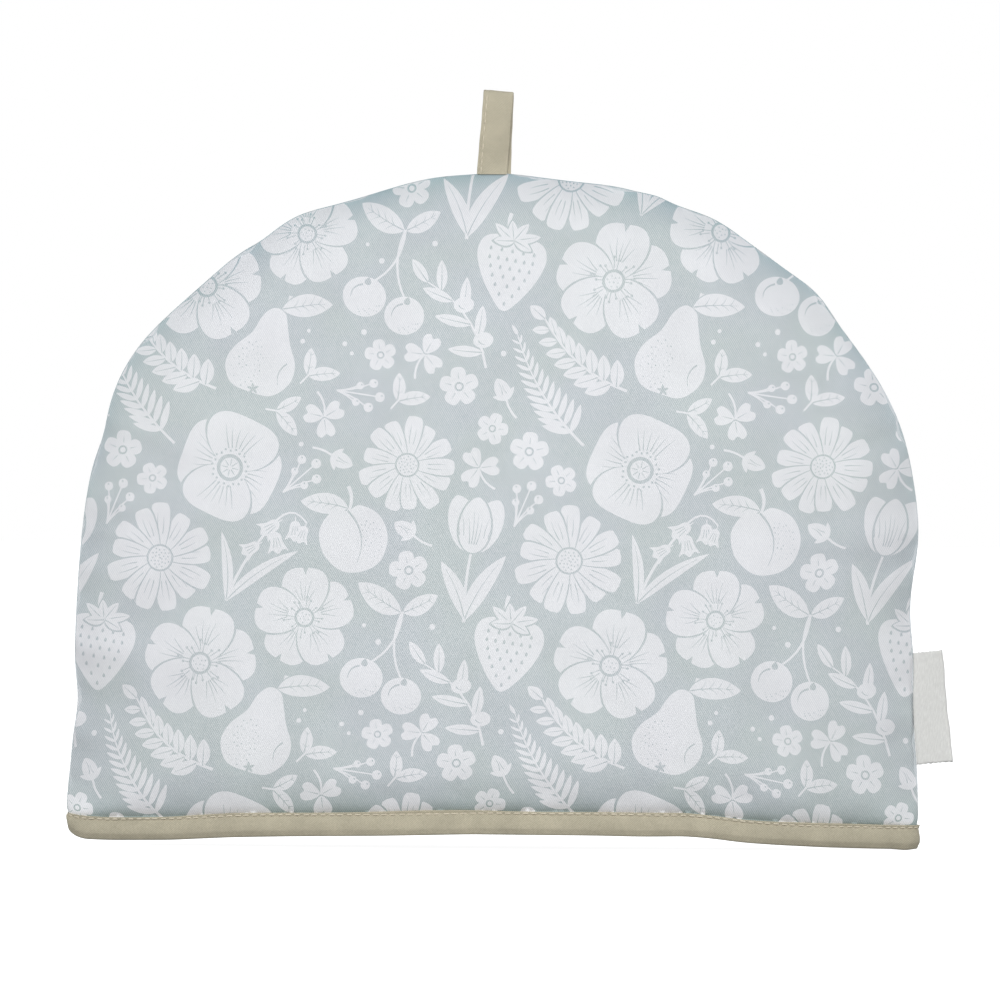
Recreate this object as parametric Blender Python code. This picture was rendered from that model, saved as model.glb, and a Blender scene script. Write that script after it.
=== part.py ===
"""A padded tea cosy, standing open on its hem: two wadded dome panels seamed over the
top, one bias binding round the hem, a hanging loop at the crown and a blank side tab.

Metres, +Z up. The front panel faces -Y and the side tab is on +X. The origin is the
middle of the whole box, on the surface that the hem stands on.
"""

import math

import bmesh
import bpy
import numpy as np
from mathutils.geometry import delaunay_2d_cdt

MM = 0.001
GAP = 0.3 * MM  # clearance between neighbouring pieces

# Dome seam: |x / half width| ** side power + (z / height) ** crown power = 1
SEAM_HEIGHT = 280.0 * MM
SEAM_HALF_WIDTH = 178.5 * MM
SIDE_POWER = 1.75
CROWN_POWER = 4.45
# Where the stitched seam swells out (+) or is drawn in (-), from the left hem corner on.
SEAM_UNEVEN = (
    # along, out, spread, all in mm
    (200, 1.8, 22),
    (246, -2.2, 26),
    (325, -1.0, 25),
    (466, 2.0, 38),
    (530, 1.3, 14),
    (598, 3.0, 34),
    (677, -3.4, 24),
)
UNEVEN_REACH = 45.0 * MM  # how far into the panel that unevenness fades out

# Wadded walls, with the hem held open to a pointed oval
OPEN_HALF_DEPTH = 47.0 * MM  # seam plane to the middle of the wall, at the hem
UPWARD_CLOSING = 0.45  # share by which the walls draw together towards the top
HALF_WALL = 4.6 * MM
HALF_WALL_IN_BINDING = 2.5 * MM
SEAM_ROUND = 7.0 * MM  # distance in which the wadding fills out from the seam
SEAM_ALLOWANCE_BLEND = 1.5 * MM  # how softly the inner faces part behind the seam
MOST_HOLLOW = 0.9  # share of the outer depth that the inner face may reach, near the seam
PUCKER_PITCH = 47.0 * MM
PUCKER_DEPTH = 0.8 * MM
PUCKER_REACH = 20.0 * MM
SWELLS = (
    # x, z, out, spread, all in mm: soft hollows (-) and swells (+) of the wadding
    (-118, 70, 0.9, 34),
    (-52, 118, -0.7, 40),
    (30, 62, 0.7, 38),
    (96, 128, 0.8, 36),
    (8, 205, -0.6, 34),
    (-88, 196, 0.6, 28),
    (128, 48, -0.6, 24),
)

# Bias binding folded over the raw hem
BINDING_HEIGHT = 10.0 * MM
BINDING_CLOTH = 1.2 * MM
BINDING_EDGE = 0.7 * MM  # softened lower corners
BINDING_ROLL = 0.3 * MM  # softened upper edges
BINDING_PUFF = 0.35 * MM  # how far each leg bellies out
BINDING_STATIONS = 72

# Mesh steps
HEM_ROWS = (BINDING_CLOTH + GAP, BINDING_HEIGHT, 13.5 * MM, 18.0 * MM, 25.0 * MM)
RIM_STEPS = (0.0, 0.7 * MM, 2.0 * MM, 4.0 * MM, 7.0 * MM, 12.0 * MM)
RIM_STATION = 10.5 * MM
INNER_PITCH = 14.0 * MM
SEAM_SAMPLES = 1500
INSIDE_OUTLINE = 1  # output type of the triangulation: only triangles inside the outline
WELD = 1e-7

# Hanging loop: one strip of folded twill, standing on the crown of the seam
LOOP_X = -2.5 * MM
LOOP_HEIGHT = 36.0 * MM
LOOP_WIDTH = 12.6 * MM
LOOP_CLOTH = 1.2 * MM
LOOP_BOW = 6.0 * MM
LOOP_LEAN = math.radians(3.6)
LOOP_BACK_LEG_SHIFT = 1.7 * MM
LOOP_STEPS = 30

# Blank woven tab folded into the +X side seam
TAB_FOOT = 32.0 * MM  # height of its lower inner corner
TAB_LENGTH = 46.0 * MM
TAB_REACH = 15.6 * MM  # out of the seam at its foot
TAB_NARROWING = 2.6 * MM  # less reach at its head
TAB_TILT = math.radians(5.5)
TAB_CLOTH = 1.0 * MM
TAB_LAYER_GAP = 0.6 * MM
TAB_STEPS = 8
TAB_FOLD_STEPS = 6
TAB_CURL = 1.2 * MM  # how far the fold's middle bends back against its corners


def seam_x(z):
    return SEAM_HALF_WIDTH * (1.0 - (z / SEAM_HEIGHT) ** CROWN_POWER) ** (1 / SIDE_POWER)


def seam_z(x):
    return SEAM_HEIGHT * (1.0 - (abs(x) / SEAM_HALF_WIDTH) ** SIDE_POWER) ** (1 / CROWN_POWER)


def seam_curve():
    """Evenly spaced points (x, z) of the even dome seam, their length from the left, and normals."""
    shoulder = 0.7 * SEAM_HALF_WIDTH
    side = [(-seam_x(z), z) for z in np.linspace(0.0, seam_z(shoulder), SEAM_SAMPLES)]
    crown = [(x, seam_z(x)) for x in np.linspace(-shoulder, shoulder, SEAM_SAMPLES)]
    other_side = [(-x, z) for x, z in reversed(side)]
    raw = np.array(side + crown[1:-1] + other_side)
    length = np.concatenate([[0.0], np.cumsum(np.hypot(*np.diff(raw, axis=0).T))])
    even = np.linspace(0.0, length[-1], SEAM_SAMPLES)
    points = np.stack([np.interp(even, length, raw[:, 0]), np.interp(even, length, raw[:, 1])], axis=1)
    normal = np.stack([-np.gradient(points[:, 1]), np.gradient(points[:, 0])], axis=1)
    return points, even, normal / np.linalg.norm(normal, axis=1)[:, None]


SEAM, SEAM_LENGTH, SEAM_NORMAL = seam_curve()


def seam_level(flat):
    """The seam's formula at points (x, z): 0 at the hem's middle and 1 on the seam."""
    across = np.abs(flat[:, 0]) / SEAM_HALF_WIDTH
    up = np.maximum(flat[:, 1], 0.0) / SEAM_HEIGHT
    return across**SIDE_POWER + up**CROWN_POWER


def nearest_on_seam(flat):
    """For points (x, z): distance in from the seam, and the nearest seam sample."""
    nearest = np.linalg.norm(flat[:, None, :] - SEAM[None, :, :], axis=2).argmin(axis=1)
    inside = ((SEAM[nearest] - flat) * SEAM_NORMAL[nearest]).sum(axis=1)
    return np.maximum(inside, 0.0), nearest


def uneven(flat):
    """Moves points (x, z) with the swells and dents of the stitched seam."""
    inside, nearest = nearest_on_seam(flat)
    along = SEAM_LENGTH[nearest]
    out = sum(
        swell * MM * np.exp(-(((along - place * MM) / (spread * MM)) ** 2))
        for place, swell, spread in SEAM_UNEVEN
    )
    fade = np.exp(-((inside / UNEVEN_REACH) ** 2))
    return flat + SEAM_NORMAL[nearest] * (out * fade)[:, None]


def smooth_step(value, start, end):
    part = np.clip((value - start) / (end - start), 0.0, 1.0)
    return part * part * (3.0 - 2.0 * part)


def closing(height):
    """Share of the hem's open depth that is left at a height."""
    return 1.0 - UPWARD_CLOSING * height / SEAM_HEIGHT


def wall_middle(x, height):
    """Depth of the middle of the wall from the seam plane: a parabola across, shut at the seam."""
    up = np.minimum(height / SEAM_HEIGHT, 0.9999)
    across = np.minimum(np.abs(x) / seam_x(up * SEAM_HEIGHT), 1.0)
    return OPEN_HALF_DEPTH * (1.0 - across**2) * (1.0 - up**CROWN_POWER) * closing(height)


def wadding_fill(inside):
    """Share of its full thickness that the wadding has at a distance in from the seam."""
    return np.sqrt(1.0 - (1.0 - np.minimum(inside / SEAM_ROUND, 1.0)) ** 2)


def wall_depths(flat):
    """Depth of the outer and the inner face from the seam plane, at points (x, z)."""
    inside, nearest = nearest_on_seam(flat)
    height = flat[:, 1]
    middle = wall_middle(flat[:, 0], height)
    free = smooth_step(height, BINDING_HEIGHT, HEM_ROWS[-1])
    half_wall = HALF_WALL_IN_BINDING + (HALF_WALL - HALF_WALL_IN_BINDING) * free
    pucker = np.cos(2.0 * math.pi * SEAM_LENGTH[nearest] / PUCKER_PITCH)
    loose = PUCKER_DEPTH * pucker * np.exp(-inside / PUCKER_REACH)
    for x, z, out, spread in SWELLS:
        away = (flat[:, 0] - x * MM) ** 2 + (height - z * MM) ** 2
        loose = loose + out * MM * np.exp(-away / (spread * MM) ** 2)
    outer = middle + (half_wall + loose * free) * wadding_fill(inside)
    hollow = middle - half_wall
    hollow = (hollow + np.sqrt(hollow**2 + SEAM_ALLOWANCE_BLEND**2)) / 2
    return GAP / 2 + outer, GAP / 2 + np.minimum(hollow, MOST_HOLLOW * outer)


def at_seam(place):
    """The point and the outward normal at a length along the seam."""
    point = [np.interp(place, SEAM_LENGTH, SEAM[:, axis]) for axis in (0, 1)]
    normal = [np.interp(place, SEAM_LENGTH, SEAM_NORMAL[:, axis]) for axis in (0, 1)]
    return np.array(point), np.array(normal)


def rim_stations():
    """Lengths along the seam: one at each hem row on both sides, and even steps between."""
    half = SEAM_SAMPLES // 2
    rows = [float(np.interp(row, SEAM[:half, 1], SEAM_LENGTH[:half])) for row in HEM_ROWS]
    whole = SEAM_LENGTH[-1]
    steps = round((whole - 2 * rows[-1]) / RIM_STATION)
    over_the_top = np.linspace(rows[-1], whole - rows[-1], steps + 1)
    return rows[:-1] + list(over_the_top) + [whole - row for row in reversed(rows[:-1])]


def inner_points(reach):
    """Points (x, z) inside the rim band: the hem rows first, then staggered rows up to the seam."""
    columns = round(2 * reach / INNER_PITCH)
    pitch = 2 * reach / columns
    hem = [(column * pitch - reach, row) for row in HEM_ROWS for column in range(1, columns)]
    above = []
    for r in range(1, int((SEAM_HEIGHT - HEM_ROWS[-1]) / INNER_PITCH) + 1):
        start = -reach + 0.5 * pitch * (r % 2)
        above += [(start + column * pitch, HEM_ROWS[-1] + r * INNER_PITCH) for column in range(columns + 1)]
    above = np.array(above)
    inside, _ = nearest_on_seam(above)
    clear = inside > RIM_STEPS[-1] + 0.5 * INNER_PITCH
    return np.vstack([hem, above[clear & (seam_level(above) < 1.0)]]), columns - 1


def panel_pattern():
    """The flat pattern: points (x, z), faces, the lower edge's points in order, the seam's points."""
    stations = rim_stations()
    rings = len(RIM_STEPS)
    last = len(stations) - 1
    band = []
    for place in stations:
        point, normal = at_seam(place)
        band += [point - normal * step for step in RIM_STEPS]
    faces = [
        (a * rings + k, a * rings + k + 1, (a + 1) * rings + k + 1, (a + 1) * rings + k)
        for a in range(last)
        for k in range(rings - 1)
    ]
    fill, hem_points = inner_points(SEAM_HALF_WIDTH - RIM_STEPS[-1])
    points = np.vstack([band, fill])
    members = [a * rings + rings - 1 for a in range(last + 1)] + list(range(len(band), len(points)))
    outline = list(range(last + 1)) + [last + 1 + c for c in reversed(range(hem_points))]
    _, _, triangles, origins, _, _ = delaunay_2d_cdt(
        [tuple(points[m]) for m in members], [], [outline], INSIDE_OUTLINE, WELD
    )
    faces += [tuple(members[origins[v][0]] for v in triangle) for triangle in triangles]
    lower_edge = list(range(rings)) + [len(band) + c for c in range(hem_points)]
    lower_edge += [last * rings + k for k in reversed(range(rings))]
    return points, faces, lower_edge, [a * rings for a in range(last + 1)]


def new_object(name, points, faces, material):
    """A smooth-shaded object of one closed mesh, with its faces turned outwards."""
    mesh = bpy.data.meshes.new(name)
    mesh.from_pydata([tuple(map(float, p)) for p in points], [], faces)
    work = bmesh.new()
    work.from_mesh(mesh)
    bmesh.ops.recalc_face_normals(work, faces=work.faces)
    work.to_mesh(mesh)
    work.free()
    mesh.shade_smooth()
    mesh.set_sharp_from_angle(angle=math.radians(50))
    mesh.materials.append(material)
    placed = bpy.data.objects.new(name, mesh)
    bpy.context.scene.collection.objects.link(placed)
    return placed


def cloth_material(name, colour, roughness):
    material = bpy.data.materials.new(name)
    material.use_nodes = True
    shader = material.node_tree.nodes["Principled BSDF"]
    shader.inputs["Base Color"].default_value = (*colour, 1.0)
    shader.inputs["Roughness"].default_value = roughness
    shader.inputs["Metallic"].default_value = 0.0
    return material


def panel(name, side, material):
    """One wadded dome panel, its face on the side (-1 front, +1 back) of the seam plane."""
    pattern, faces, lower_edge, seam = panel_pattern()
    outer, inner = wall_depths(pattern)
    placed = uneven(pattern)
    points = [(x, side * depth, z) for (x, z), depth in zip(placed, outer)]
    under = {v: v for v in seam}
    for v, ((x, z), depth) in enumerate(zip(placed, inner)):
        if v not in under:
            under[v] = len(points)
            points.append((x, side * depth, z))
    solid = list(faces) + [tuple(under[v] for v in reversed(face)) for face in faces]
    for a, b in zip(lower_edge, lower_edge[1:]):
        solid.append(tuple(dict.fromkeys((a, b, under[b], under[a]))))
    return new_object(name, points, solid, material)


def outer_oval(turn, height, grow):
    """Plan (x, y) of an oval round the hem that lies grow outside the panels' outer faces."""
    half_width = SEAM_HALF_WIDTH + grow
    x = half_width * math.cos(turn)
    fill = wadding_fill(half_width - abs(x))
    bow = OPEN_HALF_DEPTH * (1.0 - (x / half_width) ** 2) * closing(height)
    return x, math.copysign(bow + (HALF_WALL_IN_BINDING + grow) * fill, math.sin(turn)) * (fill > 0.0)


def inner_oval(turn, height, clear):
    """Plan (x, y) of the oval that lies clear inside the panels' inner faces."""
    depth = HALF_WALL_IN_BINDING + clear
    tip = SEAM_HALF_WIDTH * math.sqrt(1.0 - depth / OPEN_HALF_DEPTH / closing(height))
    x = tip * math.cos(turn)
    y = OPEN_HALF_DEPTH * closing(height) * (1.0 - (x / SEAM_HALF_WIDTH) ** 2) - depth
    return x, math.copysign(max(y, 0.0), math.sin(turn))


def hem_binding(material):
    """The binding: one ring of cloth folded up both faces of the hem."""
    rolled = BINDING_HEIGHT - BINDING_ROLL
    belly = 0.45 * BINDING_HEIGHT
    section = (
        # oval, in from the leg's shown face, height
        (outer_oval, 0.0, BINDING_EDGE),
        (outer_oval, -BINDING_PUFF, belly),
        (outer_oval, 0.0, rolled),
        (outer_oval, 0.7 * BINDING_CLOTH, BINDING_HEIGHT),
        (outer_oval, BINDING_CLOTH, rolled),
        (outer_oval, BINDING_CLOTH, BINDING_CLOTH),
        (inner_oval, BINDING_CLOTH, BINDING_CLOTH),
        (inner_oval, BINDING_CLOTH, rolled),
        (inner_oval, 0.7 * BINDING_CLOTH, BINDING_HEIGHT),
        (inner_oval, 0.0, rolled),
        (inner_oval, -BINDING_PUFF, belly),
        (inner_oval, 0.0, BINDING_EDGE),
        (inner_oval, BINDING_EDGE, 0.0),
        (outer_oval, BINDING_EDGE, 0.0),
    )
    points = []
    for station in range(BINDING_STATIONS):
        turn = 2 * math.pi * station / BINDING_STATIONS
        for oval, inset, height in section:
            points.append((*oval(turn, height, GAP + BINDING_CLOTH - inset), height))
    faces = tube_faces(BINDING_STATIONS, len(section))
    faces += joining_faces((BINDING_STATIONS - 1) * len(section), 0, len(section))
    return new_object("hem_binding", points, faces, material)


def joining_faces(first, second, across):
    """Quads between two sections of points that start at the indices first and second."""
    after = [(k + 1) % across for k in range(across)]
    return [(first + k, first + n, second + n, second + k) for k, n in enumerate(after)]


def tube_faces(stations, across):
    """Quads along a row of sections, open at both ends."""
    starts = [station * across for station in range(stations)]
    return [face for one, after in zip(starts, starts[1:]) for face in joining_faces(one, after, across)]


def teardrop(turn):
    """Path (y, z) of the loop: front leg up, over the fold and down the back leg."""
    leg_apart = (GAP + LOOP_CLOTH) / 2
    y = -LOOP_BOW * math.sin(turn) * math.sin(turn / 2) ** 1.5 - leg_apart * math.cos(turn / 2)
    return y, (LOOP_HEIGHT - LOOP_CLOTH / 2) * (1 - math.cos(turn)) / 2


def top_loop(material):
    """The hanging loop: a teardrop of tape whose two legs stand on the seam's crown."""
    path = np.array([teardrop(2 * math.pi * step / LOOP_STEPS) for step in range(LOOP_STEPS + 1)])
    along = np.gradient(path, axis=0)
    along[0] = (0.0, 1.0)
    along[-1] = (0.0, -1.0)
    along /= np.linalg.norm(along, axis=1)[:, None]
    half_cloth = np.stack([-along[:, 1], along[:, 0]], axis=1) * LOOP_CLOTH / 2
    points = []
    for step, (middle, offset) in enumerate(zip(path, half_cloth)):
        back_leg = LOOP_BACK_LEG_SHIFT * smooth_step(step / LOOP_STEPS, 0.5, 1.0)
        for face, edge in ((1, -0.5), (1, 0.5), (-1, 0.5), (-1, -0.5)):
            y, z = middle + face * offset
            x = LOOP_X + edge * LOOP_WIDTH + math.tan(LOOP_LEAN) * z + back_leg
            points.append((x, y, SEAM_HEIGHT + GAP + z))
    ends = [(0, 1, 2, 3), tuple(4 * LOOP_STEPS + k for k in range(4))]
    return new_object("top_loop", points, ends + tube_faces(LOOP_STEPS + 1, 4), material)


def tab_section(start, end):
    """Plan (x, y) round the folded tape: its outer face from end to end, then its inner face back."""
    near_seam = start + 0.4 * (end - start)
    turns = [math.pi * k / TAB_FOLD_STEPS for k in range(TAB_FOLD_STEPS + 1)]
    ring = []
    for side, radius in ((-1, (TAB_LAYER_GAP + 2 * TAB_CLOTH) / 2), (1, TAB_LAYER_GAP / 2)):
        ring += [(start, side * radius), (near_seam, side * radius)]
        ring += [(end + radius * math.sin(a), side * radius * math.cos(a)) for a in turns]
        ring += [(near_seam, -side * radius), (start, -side * radius)]
    return ring


def side_tab(material):
    """The blank tab: tape folded in two, its fold outwards and its ends at the side seam."""
    points = []
    for step in range(TAB_STEPS + 1):
        part = step / TAB_STEPS
        height = TAB_FOOT + TAB_LENGTH * part
        start = float(uneven(np.array([[seam_x(height), height]]))[0, 0]) + GAP
        end = SEAM_HALF_WIDTH + TAB_REACH - TAB_NARROWING * part
        curl = TAB_CURL * (math.sin(math.pi * part) - 0.5)
        for x, y in tab_section(start, end):
            out = x - start
            points.append((x, y + curl * (out / TAB_REACH) ** 2, height + math.tan(TAB_TILT) * out))
    across = len(points) // (TAB_STEPS + 1)
    faces = tube_faces(TAB_STEPS + 1, across)
    for foot in (0, TAB_STEPS * across):
        for k in range(across // 2 - 1):
            faces.append(tuple(foot + v for v in (k, k + 1, across - 2 - k, across - 1 - k)))
    return new_object("side_tab", points, faces, material)


def centre_on_origin(placed):
    """Moves every mesh so that the middle of the whole box stands on the origin in plan."""
    every = np.array([v.co for part in placed for v in part.data.vertices])
    middle = (every.min(axis=0) + every.max(axis=0)) / 2
    for part in placed:
        for v in part.data.vertices:
            v.co.x -= middle[0]
            v.co.y -= middle[1]


def clear_scene():
    for old in list(bpy.data.objects):
        bpy.data.objects.remove(old)


def main():
    clear_scene()
    printed_cotton = cloth_material("printed_cotton", (0.64, 0.69, 0.70), 0.9)
    bias_twill = cloth_material("bias_twill", (0.50, 0.46, 0.36), 0.88)
    woven_tape = cloth_material("woven_tape", (0.80, 0.80, 0.77), 0.8)
    centre_on_origin([
        panel("panel_front", -1, printed_cotton),
        panel("panel_back", 1, printed_cotton),
        hem_binding(bias_twill),
        top_loop(bias_twill),
        side_tab(woven_tape),
    ])


main()
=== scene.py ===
import math

import bpy
import numpy as np
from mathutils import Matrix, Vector, kdtree
from mathutils.geometry import delaunay_2d_cdt


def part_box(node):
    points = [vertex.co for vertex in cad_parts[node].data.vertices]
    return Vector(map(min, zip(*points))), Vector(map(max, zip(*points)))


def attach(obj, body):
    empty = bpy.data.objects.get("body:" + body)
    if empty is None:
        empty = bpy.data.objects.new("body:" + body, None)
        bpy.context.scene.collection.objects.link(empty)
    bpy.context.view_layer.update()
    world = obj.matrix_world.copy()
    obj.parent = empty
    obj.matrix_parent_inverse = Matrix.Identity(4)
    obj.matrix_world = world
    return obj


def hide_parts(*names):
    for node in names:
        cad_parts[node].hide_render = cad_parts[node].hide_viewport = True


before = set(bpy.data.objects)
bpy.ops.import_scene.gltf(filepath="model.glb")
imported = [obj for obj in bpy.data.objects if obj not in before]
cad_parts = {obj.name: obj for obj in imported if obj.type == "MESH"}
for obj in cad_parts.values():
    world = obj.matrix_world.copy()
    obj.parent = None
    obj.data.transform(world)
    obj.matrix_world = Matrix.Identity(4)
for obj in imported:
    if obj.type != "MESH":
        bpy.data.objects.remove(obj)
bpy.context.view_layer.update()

# ---------------------------------------------------------------------------------------
# Front and back panels. Each is a dome of cotton twill, screen-printed in white, over a
# layer of wadding. The two are sewn right sides together round the dome, trimmed and
# turned, so the cloth rolls into the seam and puckers along it.
# ---------------------------------------------------------------------------------------

MM = 0.001
hem_low, hem_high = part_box("hem_binding")
BODY_X = (hem_low.x + hem_high.x) / 2  # the cosy's own middle, as the tab stands out on one side
GAP = 0.3 * MM  # between neighbouring pieces

# The dome seam: a rounded arch, fuller at the shoulders than an ellipse.
SEAM_HEIGHT = 280.0 * MM
SEAM_HALF_WIDTH = 178.5 * MM
SIDE_POWER = 1.75
CROWN_POWER = 4.45
SEAM_SAMPLES = 6000
# Where the seam swells out (+) or is drawn in (-), from the left hem corner on.
SEAM_UNEVEN = (
    # along, out, spread, all in mm
    (14, 1.7, 15),
    (58, -2.0, 13),
    (100, -1.0, 60),
    (171, -1.3, 11),
    (202, 1.3, 22),
    (246, -2.3, 27),
    (280, -0.8, 8),
    (299, 1.3, 12),
    (325, -0.5, 14),
    (358, 1.0, 16),
    (385, 0.7, 14),
    (434, 0.6, 14),
    (450, 2.4, 26),
    (452, 0.8, 6),
    (478, 2.0, 14),
    (500, 1.6, 30),
    (530, 2.1, 13),
    (600, 4.2, 38),
    (640, 1.6, 20),
    (672, -3.2, 22),
    (714, -2.2, 22),
)
UNEVEN_REACH = 45.0 * MM  # how far into the panel the unevenness shows


def seam_x(z):
    """Half width of the dome at a height."""
    return SEAM_HALF_WIDTH * (1.0 - (z / SEAM_HEIGHT) ** CROWN_POWER) ** (1 / SIDE_POWER)


def seam_z(x):
    """Height of the dome's seam over a place across."""
    return SEAM_HEIGHT * (1.0 - (abs(x) / SEAM_HALF_WIDTH) ** SIDE_POWER) ** (1 / CROWN_POWER)


def seam_curve():
    """Evenly spaced points (x, z) of the dome seam, their length from the left, normals, tangents."""
    shoulder = 0.7 * SEAM_HALF_WIDTH
    side = [(-seam_x(z), z) for z in np.linspace(0.0, seam_z(shoulder), SEAM_SAMPLES)]
    crown = [(x, seam_z(x)) for x in np.linspace(-shoulder, shoulder, SEAM_SAMPLES)]
    other_side = [(-x, z) for x, z in reversed(side)]
    raw = np.array(side + crown[1:-1] + other_side)
    length = np.concatenate([[0.0], np.cumsum(np.hypot(*np.diff(raw, axis=0).T))])
    even = np.linspace(0.0, length[-1], SEAM_SAMPLES)
    points = np.stack([np.interp(even, length, raw[:, axis]) for axis in (0, 1)], axis=1)
    tangent = np.gradient(points, axis=0)
    tangent /= np.linalg.norm(tangent, axis=1)[:, None]
    return points, even, np.stack([-tangent[:, 1], tangent[:, 0]], axis=1), tangent


SEAM, SEAM_LENGTH, SEAM_NORMAL, SEAM_TANGENT = seam_curve()
seam_tree = kdtree.KDTree(SEAM_SAMPLES)
for sample, (x, z) in enumerate(SEAM):
    seam_tree.insert((x, z, 0.0), sample)
seam_tree.balance()


def from_seam(flat):
    """For points (x, z): distance in from the seam, length along it, the outward normal there."""
    nearest = np.array([seam_tree.find((x, z, 0.0))[1] for x, z in flat])
    away = SEAM[nearest] - flat
    inside = (away * SEAM_NORMAL[nearest]).sum(axis=1)
    along = SEAM_LENGTH[nearest] - (away * SEAM_TANGENT[nearest]).sum(axis=1)
    return np.maximum(inside, 0.0), along, SEAM_NORMAL[nearest]


def smooth_step(value, start, end):
    """A share that eases from 0 at the start to 1 at the end."""
    part = np.clip((value - start) / (end - start), 0.0, 1.0)
    return part * part * (3.0 - 2.0 * part)


BINDING_HEIGHT = 10.0 * MM
BINDING_CLOTH = 1.2 * MM  # thickness of one leg, with its turned-in edge
LEFT_CORNER = (9.5 * MM, 6.2 * MM)  # width and height over which the left hem corner is rounded
CORNER_REACH = 14.0 * MM  # height at which the rounding has died away


def corner_lift(x, z):
    """How far a point is lifted by the rounding of the left hem corner."""
    edge = SEAM_HALF_WIDTH + GAP + BINDING_CLOTH
    width, rise = LEFT_CORNER
    short = np.clip(1.0 - (x + edge) / width, 0.0, 1.0)
    lift = rise * (1.0 - np.sqrt(1.0 - short**2))
    return lift * (1.0 - smooth_step(z, 0.0, CORNER_REACH))


HEM_SHAPE = (
    # across, height of the hem's underside above the floor, both in mm
    (-180, 1.9),
    (-162, 1.4),
    (-136, 1.9),
    (-111, 3.4),
    (-84, 4.2),
    (-48, 4.8),
    (-10, 5.8),
    (40, 5.6),
    (62, 5.2),
    (80, 5.4),
    (92, 4.4),
    (104, 2.8),
    (118, 1.8),
    (140, 0.7),
    (158, 0.2),
    (166, 0.0),
)
HEM_REACH = 90.0 * MM  # height up to which the hem's shape shows in the panels
BODY_RISE = 2.3 * MM  # how far the hem's shape holds up the body of the cosy
NIB = 0.5 * MM  # how far the pinched nib at the hem's right-hand corner hangs below the rest
NIB_PLACE = 174.0  # across, in mm
NIB_SPREAD = 3.5
END_PULL = 1.2 * MM  # how far the binding draws the hem in at its right-hand end
hem_places = np.linspace(-220.0, 220.0, 441)  # one a millimetre
hem_heights = np.interp(hem_places, *np.array(HEM_SHAPE).T)
# Its corners are rounded over 8 mm to each side.
hem_heights = np.convolve(np.pad(hem_heights, 8, mode="edge"), np.hanning(17) / 8.0, mode="valid")


def stood(x, y, z):
    """Points of the flat-hemmed cosy in the frame once it stands, with its hem arched off the floor."""
    z = z + corner_lift(x, z)
    low = 1.0 - smooth_step(z, BINDING_HEIGHT, HEM_REACH)
    arch = np.interp(x / MM, hem_places, hem_heights) * MM - BODY_RISE
    pinch = np.exp(-(((x / MM - NIB_PLACE) / NIB_SPREAD) ** 2))
    pinch = pinch * (1.0 - smooth_step(z, 0.0, 0.8 * BINDING_HEIGHT))
    pull = END_PULL * smooth_step(x, 150 * MM, 178 * MM) * (1.0 - smooth_step(z, 6 * MM, 14 * MM))
    return np.stack([x + BODY_X - pull, y, z + BODY_RISE + arch * low + NIB * (1.0 - pinch)], axis=1)


OPEN_HALF_DEPTH = 47.0 * MM  # seam plane to the middle of the wall, at the hem
UPWARD_CLOSING = 0.45  # share of the hem's open depth that has closed at the top
HALF_WALL = 4.6 * MM  # half the wall's thickness behind its middle, clear of the binding
HALF_WALL_IN_BINDING = 2.5 * MM
SEAM_ROUND = 7.0 * MM  # how far in from the seam the wadding gains its thickness
SEAM_CLOSING = 0.5 * MM  # the same for the gap that is kept between the two panels
CROWN = 0.8 * MM  # extra fullness of the panel's middle
CROWN_SPREAD = 18.0 * MM
SHOWN_REACH = 34.0 * MM  # how far in from the side seams the shown face reaches its full thickness
CROWN_REACH = 16.0 * MM  # the same at the crown
THINNING = 0.42  # share of the bulge that is gone at the crown
PRESSED = 12.0 * MM  # height above the binding over which its pressing dies away
TOP_LAP = 0.2 * MM  # how far below the binding's top edge that pressing is full
BULGES = (
    # out, rise: how the wadding swells out over the binding, in mm
    (5.6, 4.4),
    (3.0, 14.0),
)
SWELLS = (
    # x, z, out, spread, all in mm
    (-118, 70, 0.9, 34),
    (-52, 118, -0.7, 40),
    (30, 62, 0.7, 38),
    (96, 128, 0.8, 36),
    (8, 205, -0.6, 34),
    (-88, 196, 0.6, 28),
    (128, 48, -0.6, 24),
)
SEAM_PUCKERS = (
    # pitch, depth, reach into the panel, phase
    (47.0, 1.25, 20.0, 0.0),
    (29.0, 0.90, 15.0, 1.3),
    (17.3, 0.65, 10.0, 4.0),
    (11.9, 0.42, 7.0, 2.2),
    (7.7, 0.24, 5.0, 0.7),
)
HEM_PUCKERS = (
    # pitch, depth, reach above the binding, phase
    (38.0, 0.45, 14.0, 0.4),
    (16.7, 0.32, 8.0, 2.9),
    (9.1, 0.22, 5.0, 5.1),
)


def closing(height):
    """Share of the hem's open depth that is left at a height."""
    return 1.0 - UPWARD_CLOSING * height / SEAM_HEIGHT


def wall_middle(x, height):
    """Depth of the middle of the wall from the seam plane."""
    up = np.clip(height / SEAM_HEIGHT, 0.0, 0.9999)
    across = np.minimum(np.abs(x) / seam_x(up * SEAM_HEIGHT), 1.0)
    return OPEN_HALF_DEPTH * (1.0 - across**2) * (1.0 - up**CROWN_POWER) * closing(height)


def wadding_fill(inside):
    """Share of its full thickness that the wadding has at a distance in from the seam."""
    return np.sqrt(np.maximum(1.0 - (1.0 - np.minimum(inside / SEAM_ROUND, 1.0)) ** 2, 0.0))


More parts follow.
